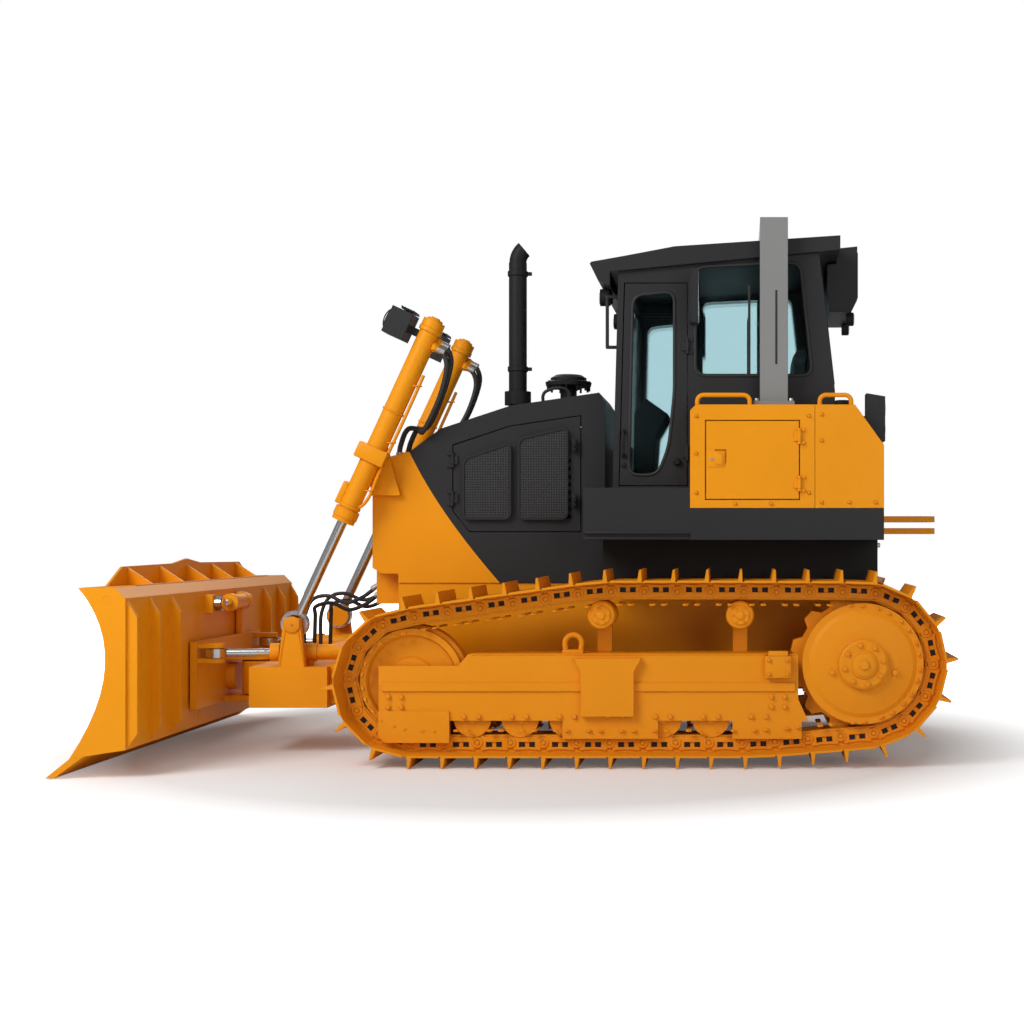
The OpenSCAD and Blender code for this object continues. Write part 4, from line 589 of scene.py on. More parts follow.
ROLLERS = [-0.297 + 0.29 * k for k in range(7)]
PLATE_FACE = 0.152
for side, word in SIDES:
    face = lambda out: side * (TRACK_Y + out)
    spots = [(x + dx, 0.30) for x in ROLLERS for dx in (-0.045, 0.045)]
    spots += [(x, z) for x in (-0.80, -0.72, 1.52, 1.60) for z in (0.36, 0.42)]
    heads = [facing((x, face(PLATE_FACE), z), (0, side, 0)) for x, z in spots]
    heads = repeat("frame_bolts_" + word, washer_bolt(0.013, 0.014), heads)
    settle(heads, gear_enamel, "chassis", "running_gear")
    seams = [weld([(start, face(PLATE_FACE), z), (end, face(PLATE_FACE), z)])
             for start, end, z in ((-0.30, 1.67, 0.677), (-0.84, -0.42, 0.292))]
    fit("frame_welds_" + word, seams, gear_enamel, "chassis", "paint", 60)
    eye = [block((0.245, face(0.02), 0.674), (0.375, face(0.10), 0.700), 0.006),
           hoop([(0.262, face(0.06), 0.696), (0.266, face(0.06), 0.765), (0.310, face(0.06), 0.790),
                 (0.354, face(0.06), 0.765), (0.358, face(0.06), 0.696)], 0.017)]
    fit("lifting_eye_" + word, eye, gear_enamel, "chassis", "paint")
    low, high = sorted((face(PLATE_FACE - 0.004), face(PLATE_FACE + 0.05)))
    bracket = [block((1.48, low, 0.535), (1.64, high, 0.670), 0.008),
               block((1.50, low, 0.668), (1.62, high - 0.01, 0.700), 0.006)]
    fit("guide_bracket_" + word, bracket, gear_enamel, "chassis", "paint")
    spots = [(x, z) for x in (1.505, 1.615) for z in (0.56, 0.645)]
    knobs = [facing((x, face(PLATE_FACE + 0.05), z), (0, side, 0)) for x, z in spots]
    knobs = repeat("guide_bolts_" + word, washer_bolt(0.010, 0.012), knobs)
    settle(knobs, gear_enamel, "chassis", "running_gear")

# Lift cylinders: bored tubes hung on trunnions, with a screwed gland, welded ports and a steel oil pipe.
# Two rubber hoses with crimped ends bring the oil from the front of the hood to the upper port.


def collar(inner, outer, length, at, along, sides=32, chamfer=0.003):
    """A turned ring with a bore, drawn out from its inner edge and closed on itself."""
    release()
    bpy.ops.mesh.primitive_circle_add(vertices=sides, radius=inner, fill_type="NOTHING")
    ring = bpy.context.object
    enter_edit()
    lathe(inner, ((0, outer - chamfer), (chamfer, outer), (length - 2 * chamfer, outer),
                  (chamfer, outer - chamfer), (0, inner), (-length, inner)))
    bpy.ops.mesh.select_all(action="SELECT")
    bpy.ops.mesh.remove_doubles(threshold=0.0001)
    bpy.ops.mesh.normals_make_consistent(inside=False)
    leave_edit()
    ring.data.transform(facing(at, along))
    return ring


rubber, tree, shader = new_finish("hose_rubber")
scuff = noise(tree, object_place(tree), 60.0, 5.0)
wrap = noise(tree, object_place(tree), 300.0, 2.0)
feed(tree, shader, Base_Color=mix(tree, scuff, (0.008, 0.008, 0.008, 1), (0.028, 0.027, 0.026, 1)),
     Roughness=scuff * 0.25 + 0.5, Normal=bump(tree, wrap, 0.3, 0.001))

zinc, tree, shader = new_finish("zinc_fitting")
bloom = noise(tree, object_place(tree), 45.0, 4.0)
feed(tree, shader, Base_Color=mix(tree, bloom, (0.35, 0.34, 0.31, 1), (0.55, 0.54, 0.5, 1)), Metallic=0.9,
     Roughness=bloom * 0.25 + 0.3)


def wave(tree, direction, scale):
    sockets = {"Vector": object_place(tree), "Scale": scale}
    return add(tree, "ShaderNodeTexWave", {"bands_direction": direction}, sockets)


lens, tree, shader = new_finish("lamp_lens")
feed(tree, shader, Base_Color=(0.82, 0.85, 0.86, 1), Roughness=0.08, Coat_Weight=0.6,
     Normal=bump(tree, wave(tree, "Y", 30.0), 0.35, 0.003))


def hose(name, points, radius):
    """A free hose: one open tube along a smooth route."""
    line = round_line(name, radius, 4)
    line.use_fill_caps = True
    smooth = []
    for k in range(len(points) - 1):
        a, b, c, d = (Vector(points[min(max(j, 0), len(points) - 1)]) for j in (k - 1, k, k + 1, k + 2))
        for s in range(6):
            t = s / 6
            bend, twist = 2 * a - 5 * b + 4 * c - d, 3 * b - a - 3 * c + d
            smooth.append(0.5 * (2 * b + (c - a) * t + bend * t * t + twist * t ** 3))
    smooth.append(Vector(points[-1]))
    run = line.splines.new("POLY")
    run.points.add(len(smooth) - 1)
    for point, place in zip(run.points, smooth):
        point.co = (*place, 1)
    piece = as_mesh(line)
    bpy.ops.object.shade_smooth_by_angle(angle=math.radians(50))
    piece.data.materials.append(rubber)
    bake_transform(piece)
    far = sum((b - a).length for a, b in zip(smooth, smooth[1:]))
    return piece


# The barrels lean back: LIFT runs up their axis and BACK square to it, towards the hood.
# Each hose port is given by its place across the barrel and up it.
BORE, HOSE_R = 0.0665, 0.017
HOSE_PORTS = ((0.028, 0.83), (-0.028, 0.79))
LIFT = Vector((0.4187, 0, 0.9081))
BACK = Vector((0.9081, 0, -0.4187))
for side, word in SIDES:
    body = "lift_barrel_" + word
    hang = Vector((-1.030, side * 0.560, 1.918))
    on_barrel = lambda back, across, up: hang + BACK * back + Vector((0, across, 0)) + LIFT * up
    rings = [collar(BORE, outer, length, on_barrel(0, 0, up), LIFT) for outer, length, up in (
        (0.079, 0.060, -0.445), (0.073, 0.022, -0.375), (0.076, 0.030, 0.865), (0.072, 0.014, 0.30))]
    cap = [(0.010, 0.052), (0.006, 0.044), (0, 0.03), (0.008, 0.028)]
    rings.append(turned(0.052, cap, on_barrel(0, 0, 0.945), LIFT, 32))
    fit("lift_rings_" + word, rings, blade_enamel, body, "paint")
    stand = Matrix(((BACK.x, 0, LIFT.x, 0), (0, 1, 0, 0), (BACK.z, 0, LIFT.z, 0), (0, 0, 0, 1)))
    yoke = [(block((-0.100, -0.030, -0.052), (0.100, 0.030, 0.052), 0.010), on_barrel(0, side * 0.052, 0)),
            (block((-0.020, -0.040, -0.075), (0.020, 0.040, 0.075), 0.008), on_barrel(-0.074, 0, -0.30))]
    yoke = [repeat("yoke", pattern, [Matrix.Translation(at) @ stand]) for pattern, at in yoke]
    fit("lift_yoke_" + word, yoke, blade_enamel, body, "paint")
    nut = [(0.020, 0.030), (0.004, 0.026), (0.016, 0.024)]
    ports = [turned(0.030, nut, on_barrel(0.062, dy, up), BACK, 6) for dy, up in HOSE_PORTS]
    pipe = ((0.085, 0.60), (0.088, 0.40), (0.088, -0.10), (0.086, -0.30), (0.060, -0.352))
    ports.append(hoop([on_barrel(back, side * 0.02, up) for back, up in pipe], 0.011))
    ports += [block(on_barrel(0.060, side * 0.02, up) - Vector((0.02, 0.02, 0.012)),
                    on_barrel(0.095, side * 0.02, up) + Vector((0.012, 0.02, 0.012)), 0.004)
              for up in (0.52, 0.12, -0.22)]
    fit("lift_pipework_" + word, ports, blade_enamel, body, "paint")
    for k, (dy, up) in enumerate(HOSE_PORTS):
        foot = Vector((-0.905 + 0.06 * k, side * 0.36, 1.925))
        top = on_barrel(0.084, dy, up)
        route = [foot, foot + Vector((0.01, 0, 0.07)), foot + Vector((0.07, side * 0.05, 0.17)),
                 on_barrel(0.215, dy + side * -0.09, 0.30 - 0.03 * k),
                 on_barrel(0.235, dy - side * 0.03, 0.50 - 0.02 * k),
                 on_barrel(0.210, dy, up - 0.11), on_barrel(0.155, dy, up - 0.02), top]
        hose("lift_hose_%s_%d" % (word, k + 1), route, HOSE_R)
        ends = [turned(0.022, [(0.040, 0.022), (0.003, 0.019)], foot - Vector((0, 0, 0.022)), (0, 0, 1), 16)]
        fit("hose_foot_%s_%d" % (word, k + 1), ends, zinc, "chassis", "bright_rod")
        cuffs = [turned(0.023, [(0.050, 0.023), (0.003, 0.019)], on_barrel(0.098, dy, up), BACK, 16)]
        fit("hose_cuff_%s_%d" % (word, k + 1), cuffs, zinc, body, "bright_rod")
    on_lamp = lambda out, across, up: on_barrel(-0.066 - out, across, 0.847 + up)
    dome = [(0.010, 0.062), (0.006, 0.050), (0.003, 0.028)]
    glass = turned(0.062, dome, on_lamp(0.200, 0, -0.01), -BACK, 32)
    settle(glass, lens, body, "glass")
    glass.name = "lift_lamp_lens_" + word
    bezel = [collar(0.0625, 0.074, 0.014, on_lamp(0.200, 0, -0.01), -BACK)]
    guard = ((0.200, -0.085), (0.224, -0.05), (0.226, 0.03), (0.200, 0.065))
    bezel += [hoop([on_lamp(out, dy, up) for out, up in guard], 0.004) for dy in (-0.03, 0.03)]
    bezel += [block(on_lamp(0.142 - 0.02 * k, -0.09, 0.089) - Vector((0.003, 0, 0.006)),
                    on_lamp(0.142 - 0.02 * k, 0.09, 0.089) + Vector((0.004, 0, 0.012)), 0.002)
              for k in range(5)]
    fit("lift_lamp_bezel_" + word, bezel, charcoal, body, "dark_paint")

# Hood and engine doors: pressed sheet steel, with two perforated air panels in pressed frames on each door.
# The holes are punched on a square pitch; latches, a grab bar and screws are fixed on top.
punched, tree, shader = new_finish("punched_sheet")
HOLE_RATE = 19.0
across, upright = wave(tree, "X", HOLE_RATE), wave(tree, "Z", HOLE_RATE)
hole = (across * upright) > 0.42
# The holes are painted darker than the sheet: painted shade of the space behind them.
feed(tree, shader, Base_Color=mix(tree, hole, (0.016, 0.016, 0.017, 1), (0.002, 0.002, 0.002, 1)),
     Roughness=hole * 0.4 + 0.45, Normal=bump(tree, 1 - across * upright, 0.8, 0.003))


def air_panel(corners, y, side):
    """A pressed frame round a punched sheet, standing just proud of the door."""
    release()
    bpy.ops.mesh.primitive_plane_add(size=1)
    panel = bpy.context.object
    for point, corner in zip(panel.data.vertices, (corners[0], corners[1], corners[3], corners[2])):
        point.co = (corner[0], y, corner[1])
    enter_edit()
    bpy.ops.mesh.bevel(offset=0.045, segments=4, affect="VERTICES")
    bpy.ops.mesh.select_all(action="SELECT")
    draw_out((0, side * 0.009, 0))
    bpy.ops.mesh.inset(thickness=0.016)
    draw_out((0, side * -0.006, 0))
    leave_edit()
    return panel


def spray(obj, finish, test):
    """A second finish on the faces that pass the test."""
    obj.data.materials.append(finish)
    for face in obj.data.polygons:
        if test(face):
            face.material_index = len(obj.data.materials) - 1


def surface(node, start, towards):
    """Where a straight line from start first meets a CAD solid."""
    hit, place, normal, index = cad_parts[node].ray_cast(Vector(start), Vector(towards))
    return place if hit else Vector(start)


for side, word in SIDES:
    body, skin = "engine_door_" + word, side * 0.4642
    for k, corners in enumerate((((-0.475, 1.50), (-0.155, 1.50), (-0.155, 2.01), (-0.475, 1.90)),
                                 ((-0.115, 1.50), (0.215, 1.50), (0.215, 2.11), (-0.115, 2.03)))):
        panel = settle(air_panel(corners, skin, side), charcoal, body, "dark_paint")
        panel.name = "air_panel_%s_%d" % (word, k + 1)
        spray(panel, punched, lambda face: face.area > 0.05 and abs(face.normal.y) > 0.9)
    latch = []
    for z in (1.62, 1.98):
        latch.append(block((0.238, skin, z - 0.045), (0.276, skin + side * 0.014, z + 0.045), 0.004))
        latch.append(block((0.246, skin, z - 0.005), (0.268, skin + side * 0.024, z + 0.036), 0.004))
        lock = (0.257, skin + side * 0.013, z - 0.022)
        latch.append(turned(0.013, [(0.012, 0.013), (0.003, 0.010)], lock, (0, side, 0), 16))
    fit("door_latches_" + word, latch, black_coat, body, "dark_paint")

GRAB_Y = -0.30
ends = [surface("hood", (x, GRAB_Y, 4), (0, 0, -1)) for x in (0.03, 0.20)]
grab = [hoop([ends[0], ends[0] + Vector((0.004, 0, 0.060)), ends[0] + Vector((0.03, 0, 0.082)),
              ends[1] + Vector((-0.03, 0, 0.070)), ends[1] + Vector((-0.004, 0, 0.050)), ends[1]], 0.011)]
grab += [turned(0.026, [(0.006, 0.026), (0.003, 0.022)], end - Vector((0, 0, 0.002)), (0, 0, 1), 20)
         for end in ends]
fit("hood_grab", grab, charcoal, "chassis", "dark_paint")
STACK_X, CLAMPS_Z = -0.163, (2.50, 3.14)
band = [collar(0.0605, 0.068, 0.035, (STACK_X, -0.110, z), (0, 0, 1)) for z in CLAMPS_Z]
band += [block((STACK_X + 0.058, -0.124, z + 0.006), (STACK_X + 0.094, -0.096, z + 0.029), 0.003)
         for z in CLAMPS_Z]
fit("stack_clamps", band, black_coat, "chassis", "dark_paint")
RIBS, cap = 12, Matrix.Translation((0.18, -0.13, 2.40))
ribs = [cap @ Matrix.Rotation(math.tau * k / RIBS, 4, "Z") @ Matrix.Translation((0.138, 0, 0))
        for k in range(RIBS)]
rib = block((-0.006, -0.005, -0.035), (0.008, 0.005, 0.035), 0.002)
settle(repeat("precleaner_ribs", rib, ribs), black_coat, "chassis", "dark_paint")
seam = [surface("hood", (x, y, 4), (0, 0, -1)) for x in (-0.62, -0.36, 0.32) for y in (-0.34, 0.34)]
screws = repeat("hood_screws", washer_bolt(0.009, 0.007), [Matrix.Translation(place) for place in seam])
settle(screws, charcoal, "chassis", "dark_paint")

# Cab trim: extruded rubber seals hold the panes in the shell, and a bar parts each sliding side window.
# Handles, the wiper and the mirror glasses are bought parts, screwed on.


def merged_copy(node):
    """A copy of a CAD solid with its triangles merged, still in edit mode."""
    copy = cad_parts[node].copy()
    copy.data = copy.data.copy()
    bpy.context.collection.objects.link(copy)
    take(copy)
    enter_edit()
    bpy.ops.mesh.remove_doubles(threshold=0.00005)
    return copy


def seal(name, node, out, part, shift, radius, body):
    """A rubber cord along the rim of the pane faces that look one way."""
    cord = merged_copy(node)
    bpy.ops.mesh.dissolve_limited(angle_limit=0.02)
    leave_edit()
    rim = set()
    for face in cord.data.polygons:
        if face.normal.dot(Vector(out)) > 0.9 and part(face.center):
            rim.update(face.vertices)
    bpy.ops.object.mode_set(mode="EDIT")
    bpy.ops.mesh.delete(type="ONLY_FACE")
    bpy.ops.mesh.select_all(action="DESELECT")
    leave_edit()
    for point in cord.data.vertices:
        point.select = point.index not in rim
        point.co += Vector(shift)
    bpy.ops.object.mode_set(mode="EDIT")
    bpy.ops.mesh.delete(type="VERT")
    leave_edit()
    bpy.ops.object.convert(target="CURVE")
    cord.data.bevel_depth = radius
    cord.data.bevel_resolution = 2
    bpy.ops.object.convert(target="MESH")
    cord.name = name
    return settle(cord, rubber, body, "dark_paint", 50)


SEAL_OUT, SEAL_R = 0.027, 0.012
for side, word in SIDES:
    out, shift = (0, side, 0), (0, side * SEAL_OUT, 0)
    seal("door_seal_" + word, "door_glass_" + word, out, lambda at: True, shift, 0.011, "cab_door_" + word)
    seal("window_seal_" + word, "cab_glass", out, lambda at: at.y * side > 0, shift, SEAL_R, "chassis")
seal("front_seal", "cab_glass", (-1, 0, 0), lambda at: at.x < 1.0, (-SEAL_OUT, 0, 0), SEAL_R, "chassis")
seal("rear_seal", "cab_glass", (1, 0, 0), lambda at: at.x > 1.0, (SEAL_OUT, 0, 0), SEAL_R, "chassis")


def extent(node):
    """Low and high corner of one CAD solid."""
    points = [point.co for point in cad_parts[node].data.vertices]
    return [Vector([pick(p[k] for p in points) for k in range(3)]) for pick in (min, max)]


sill = extent("cab_glass")[0].z
bars = [block((1.380, side * 0.738, sill - 0.02), (1.396, side * 0.757, sill + 0.98), 0.003)
        for side in (-1, 1)]
fit("window_bars", bars, rubber, "chassis", "dark_paint")

HANDLE_X, DOOR_FACE = 0.598, 0.7805
for side, word in SIDES:
    face = side * DOOR_FACE
    grip = ((0, 1.90), (0.040, 1.905), (0.048, 1.925), (0.048, 2.025), (0.040, 2.045), (0, 2.05))
    pull = [hoop([(HANDLE_X, face + side * out, z) for out, z in grip], 0.009)]
    knobs = [(0.018, [(0.005, 0.018), (0.003, 0.014)], HANDLE_X, 1.90),
             (0.018, [(0.005, 0.018), (0.003, 0.014)], HANDLE_X, 2.05),
             (0.015, [(0.008, 0.015), (0.004, 0.011)], HANDLE_X, 1.84),
             (0.024, [(0.016, 0.024), (0.010, 0.016), (0.006, 0.016)], 0.935, 1.86)]
    pull += [turned(radius, steps, (x, face, z), (0, side, 0), 18) for radius, steps, x, z in knobs]
    fit("door_handle_" + word, pull, black_coat, "cab_door_" + word, "dark_paint")

mirror_x = extent("cab_fittings")[1].x
looks = [block((mirror_x - 0.001, side * 0.892, 2.722), (mirror_x + 0.003, side * 1.002, 3.030), 0.002)
         for side in (-1, 1)]
fit("mirror_glass", looks, chrome, "chassis", "bright_rod")

pivots = ((-0.18, 2.12), (0.16, 2.70), (0.02, 2.46), (0.30, 2.94))
front = [surface("cab_glass", (-2, y, z), (1, 0, 0)) for y, z in pivots]
off = Vector((-0.018, 0, 0))
wiper = [hoop([front[0] + Vector((-0.004, 0, 0)), front[0] + off, front[1] + off], 0.006),
         hoop([front[2] + off * 0.5, front[3] + off * 0.5], 0.007),
         turned(0.020, [(0.014, 0.020), (0.006, 0.015)], front[0] - Vector((0.0005, 0, 0)), (-1, 0, 0), 18)]
fit("front_wiper", wiper, black_coat, "chassis", "dark_paint")

# Roof lamps and cooling unit: round lamps hang under the visor and under the unit behind the roof.
# Pressed slats in a welded frame cover the unit's rear face.
visor_x = extent("cab_roof")[0].x
unit_low, unit_high = extent("rear_unit")
pots, lights = [], []
for y in (-0.56, 0.56):
    under = surface("cab_roof", (visor_x + 0.075, y, 2.0), (0, 0, 1))
    centre = under + Vector((0, 0, -0.062))
    pots += [turned(0.055, [(0.060, 0.055), (0.020, 0.035)], centre + Vector((-0.030, 0, 0)), (1, 0, 0), 28),
             block(centre + Vector((-0.012, -0.010, 0.050)), centre + Vector((0.020, 0.010, 0.066)), 0.002)]
    lights.append(turned(0.048, [(0.006, 0.040)], centre + Vector((-0.030, 0, 0)), (-1, 0, 0), 28))
for y in (-0.24, 0.24):
    centre = Vector((unit_high[0] - 0.040, y, unit_low[2] - 0.028))
    pots += [turned(0.045, [(0.046, 0.045)], centre + Vector((-0.022, 0, 0)), (1, 0, 0), 24),
             block(centre + Vector((-0.012, -0.010, 0.030)), centre + Vector((0.012, 0.010, 0.046)), 0.002)]
    lights.append(turned(0.040, [(0.005, 0.034)], centre + Vector((0.024, 0, 0)), (1, 0, 0), 24))
fit("roof_lamps", pots, black_coat, "chassis", "dark_paint")
fit("roof_lamp_glass", lights, lens, "chassis", "glass")
slats = [block((unit_high[0] - 0.001, -0.30, z), (unit_high[0] + 0.006, 0.30, z + 0.010), 0.002)
         for z in [unit_low[2] + 0.12 + 0.024 * k for k in range(11)]]
slats += [block((unit_high[0] - 0.001, y - 0.006, unit_low[2] + 0.10),
                (unit_high[0] + 0.009, y + 0.006, unit_low[2] + 0.40), 0.002) for y in (-0.31, 0, 0.31)]
fit("unit_slats", slats, black_coat, "chassis", "dark_paint")

# Side boxes, tank and fenders: folded sheet steel with flush doors, screwed along the flanges.
# A paddle latch closes the locker, and a lip with raised tread bars edges the step.
tank_high = extent("rear_tank")[1]
panel = tank_high[1]
latch_at = Vector((1.185, extent("locker_door")[0][1] + 0.024, 1.865))
plates = (((-0.052, -0.004, -0.050), (0.052, 0.004, 0.050)),
          ((-0.004, -0.010, -0.036), (0.040, 0.002, 0.036)))
latch = [block(latch_at + Vector(low), latch_at + Vector(high), 0.004) for low, high in plates]
fit("locker_latch", latch, body_enamel, "locker_door", "paint")
keyhole = turned(0.010, [(0.004, 0.010)], latch_at + Vector((-0.026, -0.003, 0)), (0, -1, 0), 16)
fit("locker_key", [keyhole], zinc, "locker_door", "bright_rod")

screws = []
for side in (-1, 1):
    for x, z in [(1.062, 1.66), (1.062, 1.90), (1.062, 2.13), (1.30, 1.592), (1.52, 1.592), (1.752, 1.66),
                 (1.752, 2.13), (1.83, 1.60), (2.00, 1.60), (2.16, 1.60), (1.83, 1.98), (1.83, 2.14)]:
        screws.append(facing((x, side * panel, z), (0, side, 0)))
settle(repeat("panel_screws", washer_bolt(0.009, 0.008), screws), body_enamel, "chassis", "paint")

steps = [(0.012, 0.046), (0.004, 0.052), (0.020, 0.052), (0.006, 0.044)]
caps = [turned(0.046, steps, (1.97, -0.86, tank_high[2] - 0.001), (0, 0, 1), 32)]
right_cap = surface("side_box_right", (1.40, 0.92, 4), (0, 0, -1))
steps = [(0.010, 0.060), (0.004, 0.068), (0.024, 0.068), (0.008, 0.058)]
caps.append(turned(0.060, steps, right_cap - Vector((0, 0, 0.001)), (0, 0, 1), 36))
fit("filler_caps", caps, black_coat, "chassis", "dark_paint")

lamp_low, lamp_high = extent("rear_lamps")
clear, red = [], []
for side in (-1, 1):
    x, y = lamp_high[0] - 0.001, side * (lamp_high[1] - 0.070)
    clear.append(turned(0.050, [(0.006, 0.046)], (x, y, lamp_high[2] - 0.095), (1, 0, 0), 28))
    red.append(turned(0.036, [(0.006, 0.032)], (x, y, lamp_low[2] + 0.085), (1, 0, 0), 28))
fit("rear_lamp_glass", clear, lens, "chassis", "glass")
ruby, tree, shader = new_finish("red_lens")
feed(tree, shader, Base_Color=(0.42, 0.006, 0.006, 1), Roughness=0.12, Coat_Weight=0.6,
     Normal=bump(tree, wave(tree, "Z", 60.0), 0.4, 0.002))
fit("rear_lamp_red", red, ruby, "chassis", "paint")

lip = []
for side, word in SIDES:
    low, high = extent("fender_" + word)
    outer = side * abs(low[1] if side < 0 else high[1])
    lip += [block((low[0] + 0.010, outer - side * 0.004, foot), (1.020, outer + side * 0.009, top), 0.003)
            for foot, top in ((1.408, 1.424), (1.374, 1.386))]
    for k in range(9):
        x = low[0] + 0.05 + 0.065 * k
        top = surface("fender_" + word, (x, side * 0.90, 4), (0, 0, -1))
        lip.append(block(top + Vector((-0.010, -0.11, -0.002)), top + Vector((0.010, 0.11, 0.006)), 0.003))
fit("step_treads", lip, charcoal, "chassis", "dark_paint")

# Roll bar posts: grey box sections on foot plates.
# Each post has a cable slot in its outer face, drawn as a thin dark strip: painted shade of the slot. Hexagon
# bolts hold each foot.
post_low, post_high = extent("roll_bar")
SLOT_X = 1.555
slot_shades, feet = [], []
for side in (-1, 1):
    start = surface("roll_bar", (SLOT_X, side * 3, 2.7), (0, -side, 0))
    # A thin dark strip on the post face: painted shade of the cable slot.
    slot_shades.append(block((SLOT_X - 0.007, start.y - side * 0.002, 2.46),
                       (SLOT_X + 0.007, start.y + side * 0.001, 2.92), 0.0004))
    for x in (post_low[0] + 0.020, post_high[0] - 0.020):
        for y in (0.84, 0.945):
            foot = surface("roll_bar", (x, side * y, 2.6), (0, 0, -1))
            feet.append(facing(foot, (0, 0, 1)))
fit("post_slot_shades", slot_shades, rubber, "chassis", "dark_paint")
settle(repeat("post_bolts", hex_bolt(0.013, 0.014), feet), zinc, "chassis", "bright_rod")

# Rear bracket: flame-cut plates welded to a foot plate.
# Six hexagon bolts hold the plate to the rear of the machine.
bracket_low, bracket_high = extent("rear_bracket")
plate_x = bracket_low[0] + 0.030
rows = (bracket_low[2] + 0.035, 1.435, bracket_high[2] - 0.035)
heads = [facing((plate_x, y, z), (1, 0, 0)) for y in (-0.22, 0.22) for z in rows]
settle(repeat("bracket_bolts", hex_bolt(0.015, 0.016), heads), zinc, "chassis", "bright_rod")
beads = [weld([(plate_x, -0.11, z), (plate_x, 0.11, z)], 0.007) for z in (1.41, 1.45, 1.49, 1.53)]
fit("bracket_welds", beads, body_enamel, "chassis", "paint")

# Blade: rolled plate with ribs welded on its back, and a cutting edge held by plow bolts.
# The bolt heads sit flush at the front; the welds run along the ribs and the spill guard.


def on_face(node, start, towards):
    """A stand for a bolt where a straight line meets a CAD solid, square to its surface."""
    hit, place, normal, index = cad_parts[node].ray_cast(Vector(start), Vector(towards))
    return facing(place - normal * 0.0008, normal)


edge_low, edge_high = extent("cutting_edge")
BOLT_PITCH = 0.15
bolt_count = int((edge_high[1] - edge_low[1] - 0.1) / BOLT_PITCH) + 1
heads = [on_face("cutting_edge", (-4, edge_low[1] + 0.075 + BOLT_PITCH * k, 0.080), (1, 0, 0))
         for k in range(bolt_count)]
bolts = repeat("plow_bolts", turned(0.016, [(0.0022, 0.014)], sides=20), heads)
settle(bolts, gear_enamel, "blade", "running_gear")
board_half = extent("moldboard")[1].y
back_x = surface("moldboard", (2, 0.42, 0.75), (-1, 0, 0)).x
spill_low, spill_high = extent("spill_guard")
beads = [weld([(back_x, y, 0.22), (back_x, y, 0.98)], 0.007) for y in (-0.47, 0.47)]
beads.append(weld([(spill_high[0] - 0.010, y, spill_low[2] + 0.002) for y in (-1.30, 1.30)], 0.007))
beads += [weld([(back_x, y, 0.62), (back_x, y, 0.92)], 0.006) for y in (-1.45, -1.12, 1.12, 1.45)]
fit("blade_welds", beads, blade_enamel, "blade", "paint")
eyes = [collar(0.020, 0.034, 0.010, (-2.300, side * (board_half - 0.0095), 1.030), (0, side, 0))
        for side in (-1, 1)]
fit("blade_eyes", eyes, blade_enamel, "blade", "paint")

# Push frame: box sections welded from plate, with weld beads up the towers.
# Keeper plates hold the pins, and each upper one has a grease point in its middle.
PIN_X, PIN_Z = -1.528, 0.83
frame_half = extent("push_frame")[1].y
keepers, nipples = [], []
for side in (-1, 1):
    outer = surface("push_frame", (PIN_X, side * 2, PIN_Z), (0, -side, 0)).y
    keepers += [turned(0.052, [(0.012, 0.052), (0.003, 0.046)], (PIN_X, outer - side * 0.001, PIN_Z),
                       (0, side, 0), 28),
                turned(0.085, [(0.014, 0.085), (0.004, 0.075)], (0.100, side * (frame_half - 0.066), 0.5),
                       (0, side, 0), 32)]
    keepers += [weld([(foot, outer, 0.50), (head, outer, 0.80)], 0.006)
                for foot, head in ((-1.62, -1.57), (-1.44, -1.49))]
    nipples.append(facing((PIN_X, outer + side * 0.010, PIN_Z), (0, side, 0)))
fit("pin_keepers", keepers, gear_enamel, "push_frame", "paint")
nipple = turned(0.006, [(0.008, 0.006), (0.004, 0.003), (0.004, 0.004)], sides=10)
settle(repeat("grease_points", nipple, nipples), zinc, "push_frame", "bright_rod")

# Hoses to the blade: two pairs of black hydraulic hose hang in loops from the guard to the push frame.
# Each end is crimped into a plated ferrule.
skirt_x = surface("radiator_guard", (-3, 0.30, 1.05), (1, 0, 0)).x
box_top = surface("push_frame", (-1.60, 0.25, 3), (0, 0, -1)).z
ferrules, feet = [], []
for k, y in enumerate((-0.28, -0.20, 0.20, 0.28)):
    drop = 0.05 * (k % 2)
    foot_x = skirt_x - 0.50 + drop
    route = [(skirt_x - 0.002, y, 1.07 - drop), (skirt_x - 0.09, y, 1.00 - drop),
             (skirt_x - 0.21, y, 0.955 - drop), (skirt_x - 0.33, y * 0.95, 1.00 - drop),
             (skirt_x - 0.44, y * 0.9, 0.975 - drop), (skirt_x - 0.495 + drop, y * 0.85, 0.86),
             (foot_x, y * 0.85, box_top + 0.12), (foot_x, y * 0.85, box_top + 0.004)]
    hose("blade_hose_%d" % (k + 1), route, 0.013)
    start, end = (skirt_x - 0.001, y, 1.07 - drop), (foot_x, y * 0.85, box_top - 0.001)
    ferrules.append(turned(0.017, [(0.045, 0.017), (0.004, 0.014)], start, (-1, 0, -0.6), 18))
    feet.append(turned(0.018, [(0.050, 0.018), (0.004, 0.014)], end, (0, 0, 1), 18))
fit("guard_ferrules", ferrules, zinc, "chassis", "bright_rod")
fit("frame_ferrules", feet, zinc, "push_frame", "bright_rod")

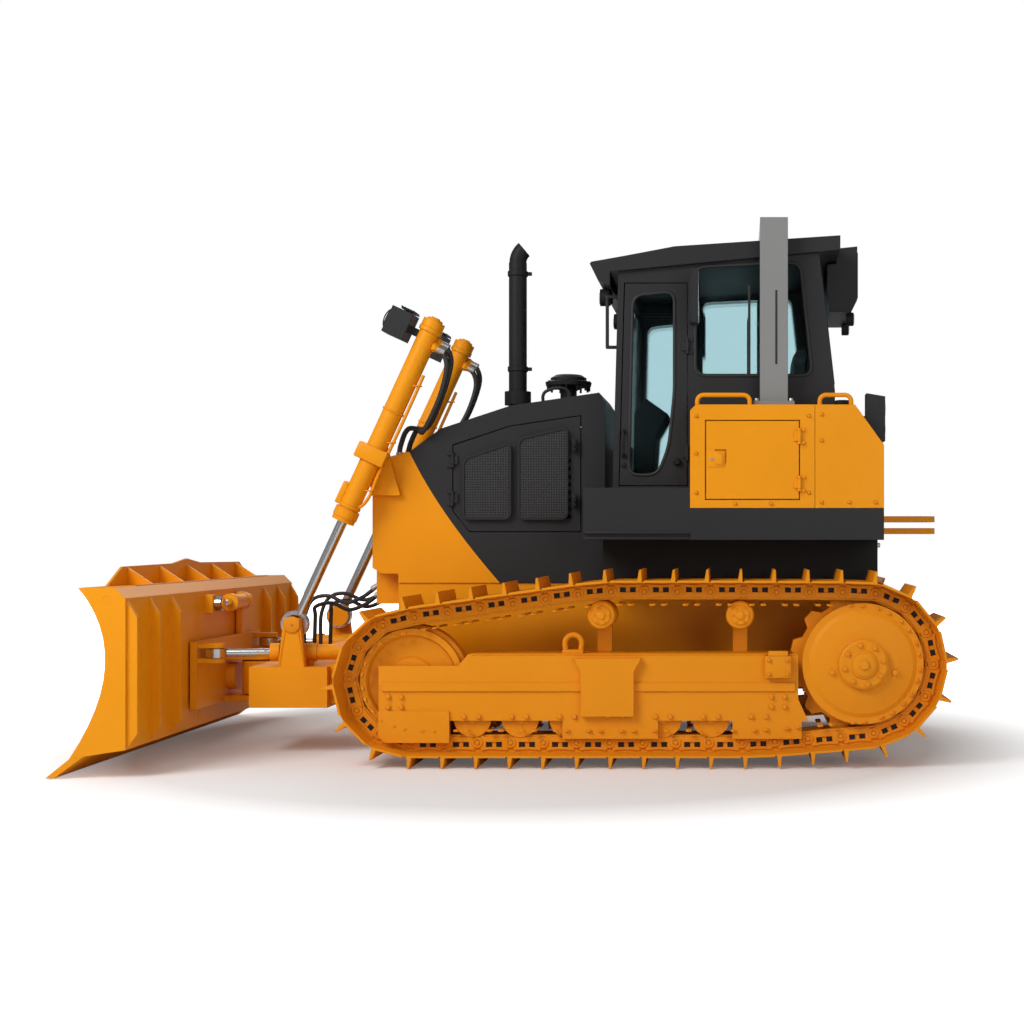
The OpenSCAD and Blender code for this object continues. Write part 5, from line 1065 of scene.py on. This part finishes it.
# Seat: two foam cushions on the steel pan and back, each in a woven grey cover.
# The covers are drawn over the foam a little tight, so the faces crown between the corners.
weave, tree, shader = new_finish("seat_weave")
warp, weft = wave(tree, "Y", 90.0), wave(tree, "DIAGONAL", 70.0)
thread = warp * 0.5 + weft * 0.3 + noise(tree, object_place(tree), 9.0, 5.0) * 0.2
feed(tree, shader, Base_Color=mix(tree, thread, (0.020, 0.020, 0.022, 1), (0.075, 0.075, 0.08, 1)),
     Roughness=0.92, Sheen_Weight=0.3, Normal=bump(tree, warp + weft, 0.5, 0.0015))


def stuffed(pad, shrink, swell):
    """Foam in a tight cover: the plain solid is remeshed and blown up by cloth pressure, within a limit."""
    take(pad)
    middle = sum((point.co for point in pad.data.vertices), Vector()) / len(pad.data.vertices)
    reach = [max(abs(point.co[k] - middle[k]) for point in pad.data.vertices) for k in range(3)]
    for point in pad.data.vertices:
        point.co = middle + Vector([(point.co[k] - middle[k]) * (1 - shrink / reach[k]) for k in range(3)])
    pad.data.remesh_voxel_size = 0.010
    bpy.ops.object.voxel_remesh()
    rest = [point.co.copy() for point in pad.data.vertices]
    bpy.ops.object.modifier_add(type="CLOTH")
    cover = pad.modifiers[-1]
    cover.settings.use_pressure = True
    cover.settings.uniform_pressure_force = 4
    cover.settings.effector_weights.gravity = 0
    for moment in range(1, 21):
        bpy.context.scene.frame_set(moment)
    bpy.ops.object.modifier_apply(modifier=cover.name)
    bpy.context.scene.frame_set(1)
    for point, start in zip(pad.data.vertices, rest):
        move = point.co - start
        point.co = start + move * min(1, swell / max(move.length, 1e-6))
    bpy.ops.object.modifier_add(type="SUBSURF")
    bpy.ops.object.modifier_apply(modifier=pad.modifiers[-1].name)
    return pad


SHRINK, SWELL = 0.010, 0.012
merged_copy("seat_pads")
bpy.ops.mesh.separate(type="LOOSE")
leave_edit()
pads = [stuffed(pad, SHRINK, SWELL) for pad in list(bpy.context.selected_objects)]
cushions = fit("seat_cushions", pads, weave, "chassis", "seat", 60)
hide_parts("seat_pads")
